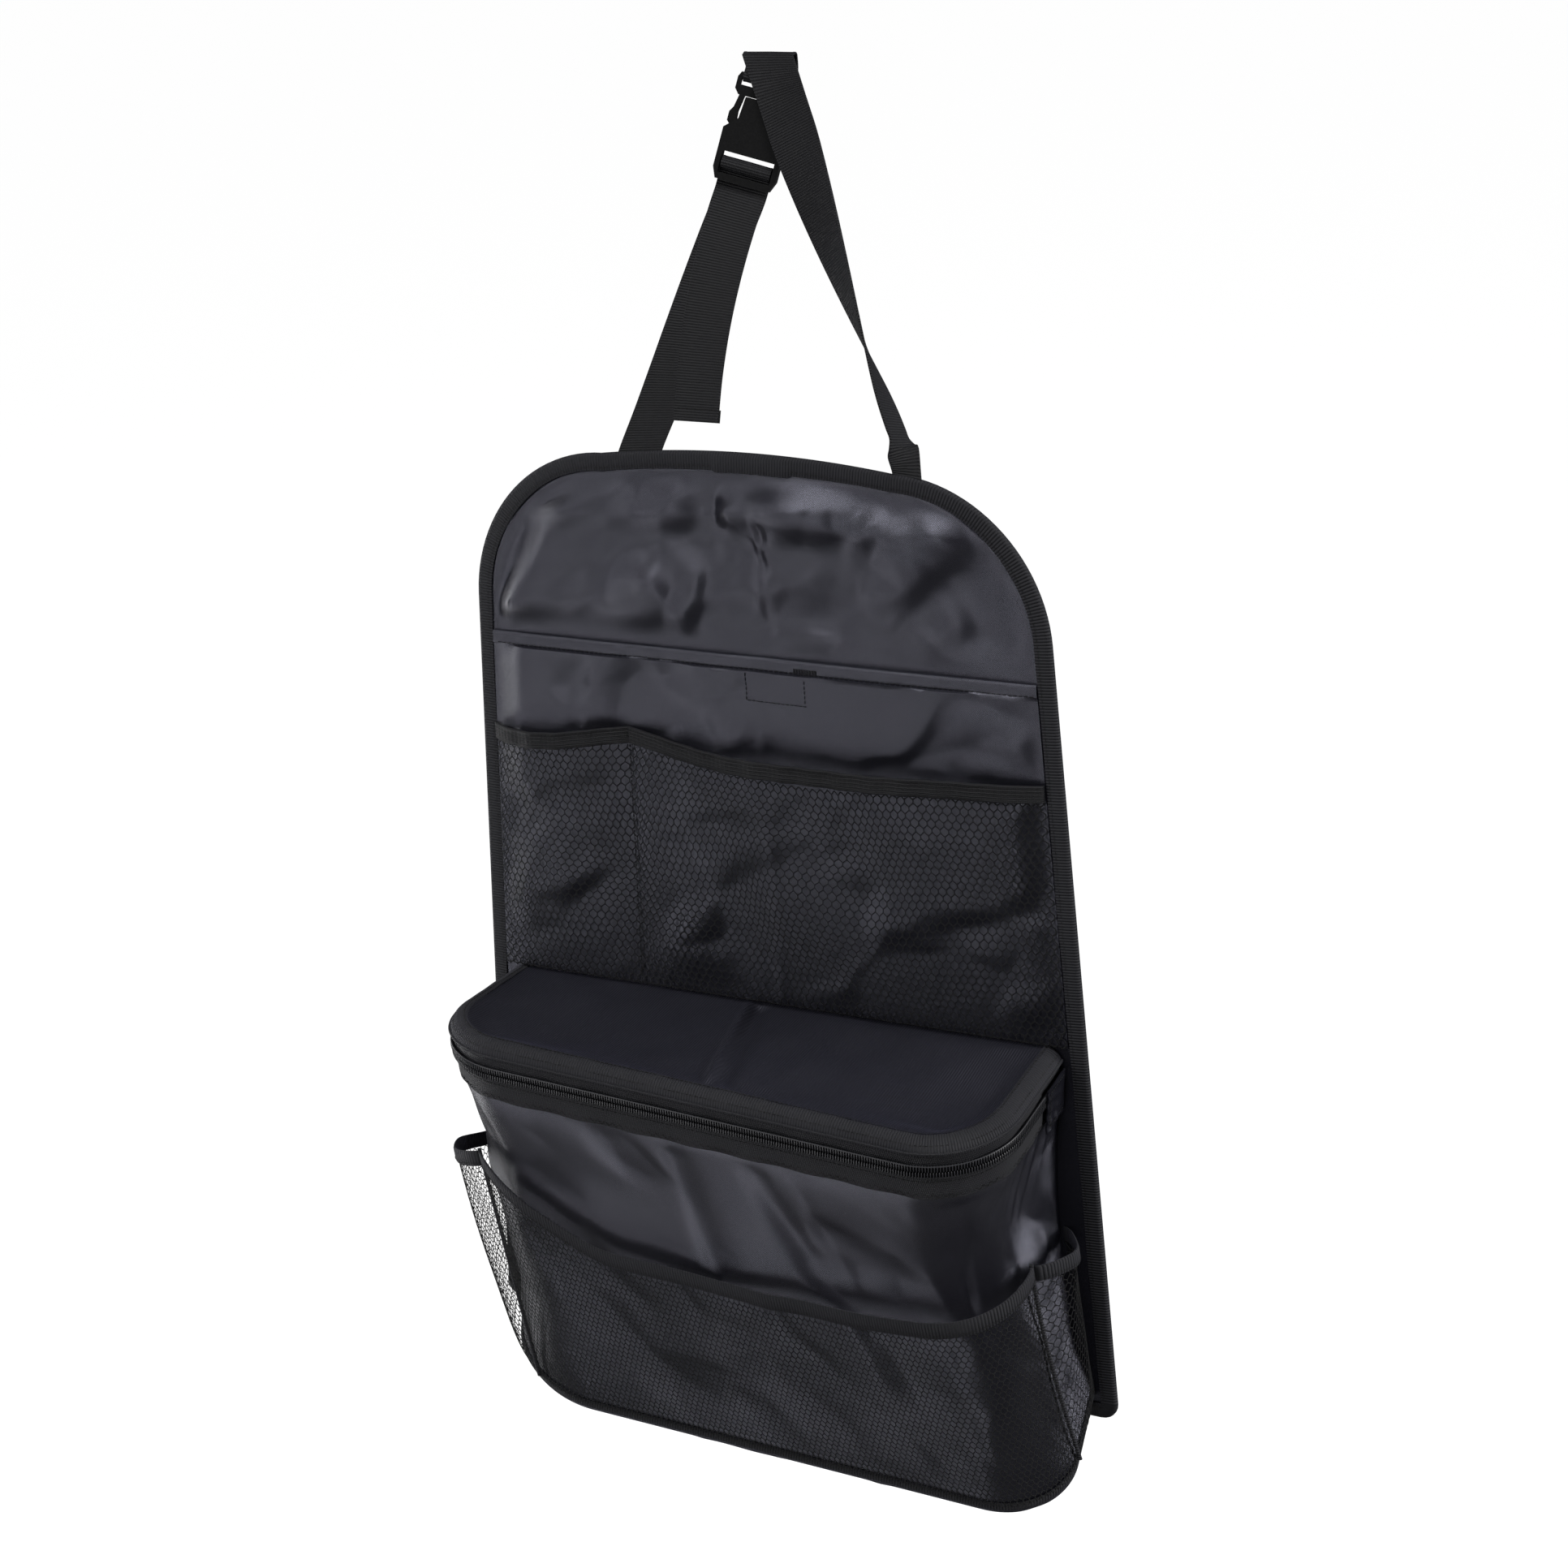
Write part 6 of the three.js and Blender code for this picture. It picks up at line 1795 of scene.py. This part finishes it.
@dataclass(frozen=True)
class Softbox:
    """An area lamp by its place, width, height and brightness."""

    name: str
    place: tuple[float, float, float]
    width: float
    height: float
    glow: float

    def build(self) -> None:
        """Adds the lamp, aimed at the organizer's middle."""
        data = bpy.data.lights.new(self.name, "AREA")
        data.shape = "RECTANGLE"
        data.size = self.width
        data.size_y = self.height
        data.energy = self.glow * math.pi * self.width * self.height
        lamp = bpy.data.objects.new(self.name, data)
        back = unit(np.array(self.place))
        side = unit(np.cross([0.0, 0.0, 1.0], back))
        rows = np.stack([side, np.cross(back, side), back, np.array(self.place)], axis=1)
        lamp.matrix_world = Matrix([*rows.tolist(), [0.0, 0.0, 0.0, 1.0]])
        bpy.context.scene.collection.objects.link(lamp)


@dataclass(frozen=True)
class Studio:
    """Pale floor, dim even world light and five softboxes."""

    floor_z: float = -0.98
    floor_half: float = 40.0
    world: float = 0.085
    glow: float = 0.97
    lamps: tuple[Softbox, ...] = (
        Softbox("strip_front", (-0.7, -1.17, -0.3), 0.26, 1.15, 6.9),
        Softbox("strip_side", (-1.35, 0.1, -0.2), 0.3, 1.2, 5.0),
        Softbox("key", (-1.9, -2.2, 1.3), 1.1, 0.8, 8.0),
        Softbox("top", (0.5, -1.1, 2.9), 1.3, 1.1, 15.0),
        Softbox("rim", (2.6, 0.6, 0.6), 1.0, 1.2, 17.0),
    )

    def build(self) -> None:
        """Makes the world, the floor and the lamps, and the plain view transform."""
        bpy.context.scene.view_settings.view_transform = "Standard"
        self.sky()
        self.floor()
        for lamp in self.lamps:
            lamp.build()

    def sky(self) -> None:
        """White where it is seen, plain grey light elsewhere."""
        world = bpy.data.worlds.new("studio")
        bpy.context.scene.world = world
        world.use_nodes = True
        world.node_tree.nodes.clear()
        sketch = ShaderSketch(world.node_tree)
        light = sketch.node("ShaderNodeBackground")
        light.inputs["Color"].default_value = (1.0, 1.0, 1.0, 1.0)
        light.inputs["Strength"].default_value = self.world
        path = sketch.node("ShaderNodeLightPath").outputs
        white = sketch.node("ShaderNodeBackground")
        white.inputs["Color"].default_value = (1.0, 1.0, 1.0, 1.0)
        mix = sketch.node("ShaderNodeMixShader")
        sketch.feed(mix.inputs[0], path["Is Camera Ray"])
        sketch.feed(mix.inputs[1], light.outputs[0])
        sketch.feed(mix.inputs[2], white.outputs[0])
        sketch.feed(sketch.node("ShaderNodeOutputWorld").inputs[0], mix.outputs[0])

    def floor(self) -> None:
        """A wide pale floor that keeps a soft shadow."""
        half, z = self.floor_half, self.floor_z
        mesh = bpy.data.meshes.new("floor")
        corners = [(-half, -half, z), (half, -half, z), (half, half, z), (-half, half, z)]
        mesh.from_pydata(corners, [], [(0, 1, 2, 3)])
        material = bpy.data.materials.new("pale_floor")
        material.use_nodes = True
        material.node_tree.nodes.clear()
        sketch = ShaderSketch(material.node_tree)
        matte = sketch.node("ShaderNodeBsdfDiffuse")
        matte.inputs["Color"].default_value = (0.22, 0.22, 0.22, 1.0)
        glow = sketch.node("ShaderNodeEmission")
        path = sketch.node("ShaderNodeLightPath").outputs
        sketch.feed(glow.inputs["Strength"], sketch.maths("MULTIPLY", path["Is Camera Ray"], self.glow))
        both = sketch.node("ShaderNodeAddShader")
        sketch.feed(both.inputs[0], matte.outputs[0])
        sketch.feed(both.inputs[1], glow.outputs[0])
        sketch.feed(sketch.node("ShaderNodeOutputMaterial").inputs[0], both.outputs[0])
        mesh.materials.append(material)
        floor = bpy.data.objects.new("floor", mesh)
        bpy.context.scene.collection.objects.link(floor)


def main() -> None:
    """Builds the camera, the studio and every piece in order."""
    logging.basicConfig(level=logging.INFO, format="%(name)s: %(message)s")
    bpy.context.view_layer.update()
    PhotoCamera().build()
    Studio().build()
    panel = BackPanel()
    bag = ZipBag(BagShape(lid_z=panel.lid_z))
    for group in (panel, UpperPocket(panel), bag, BagNets(bag), HangingStraps(panel)):
        group.dress()
    dress_slider()


if __name__ == "__main__":
    main()
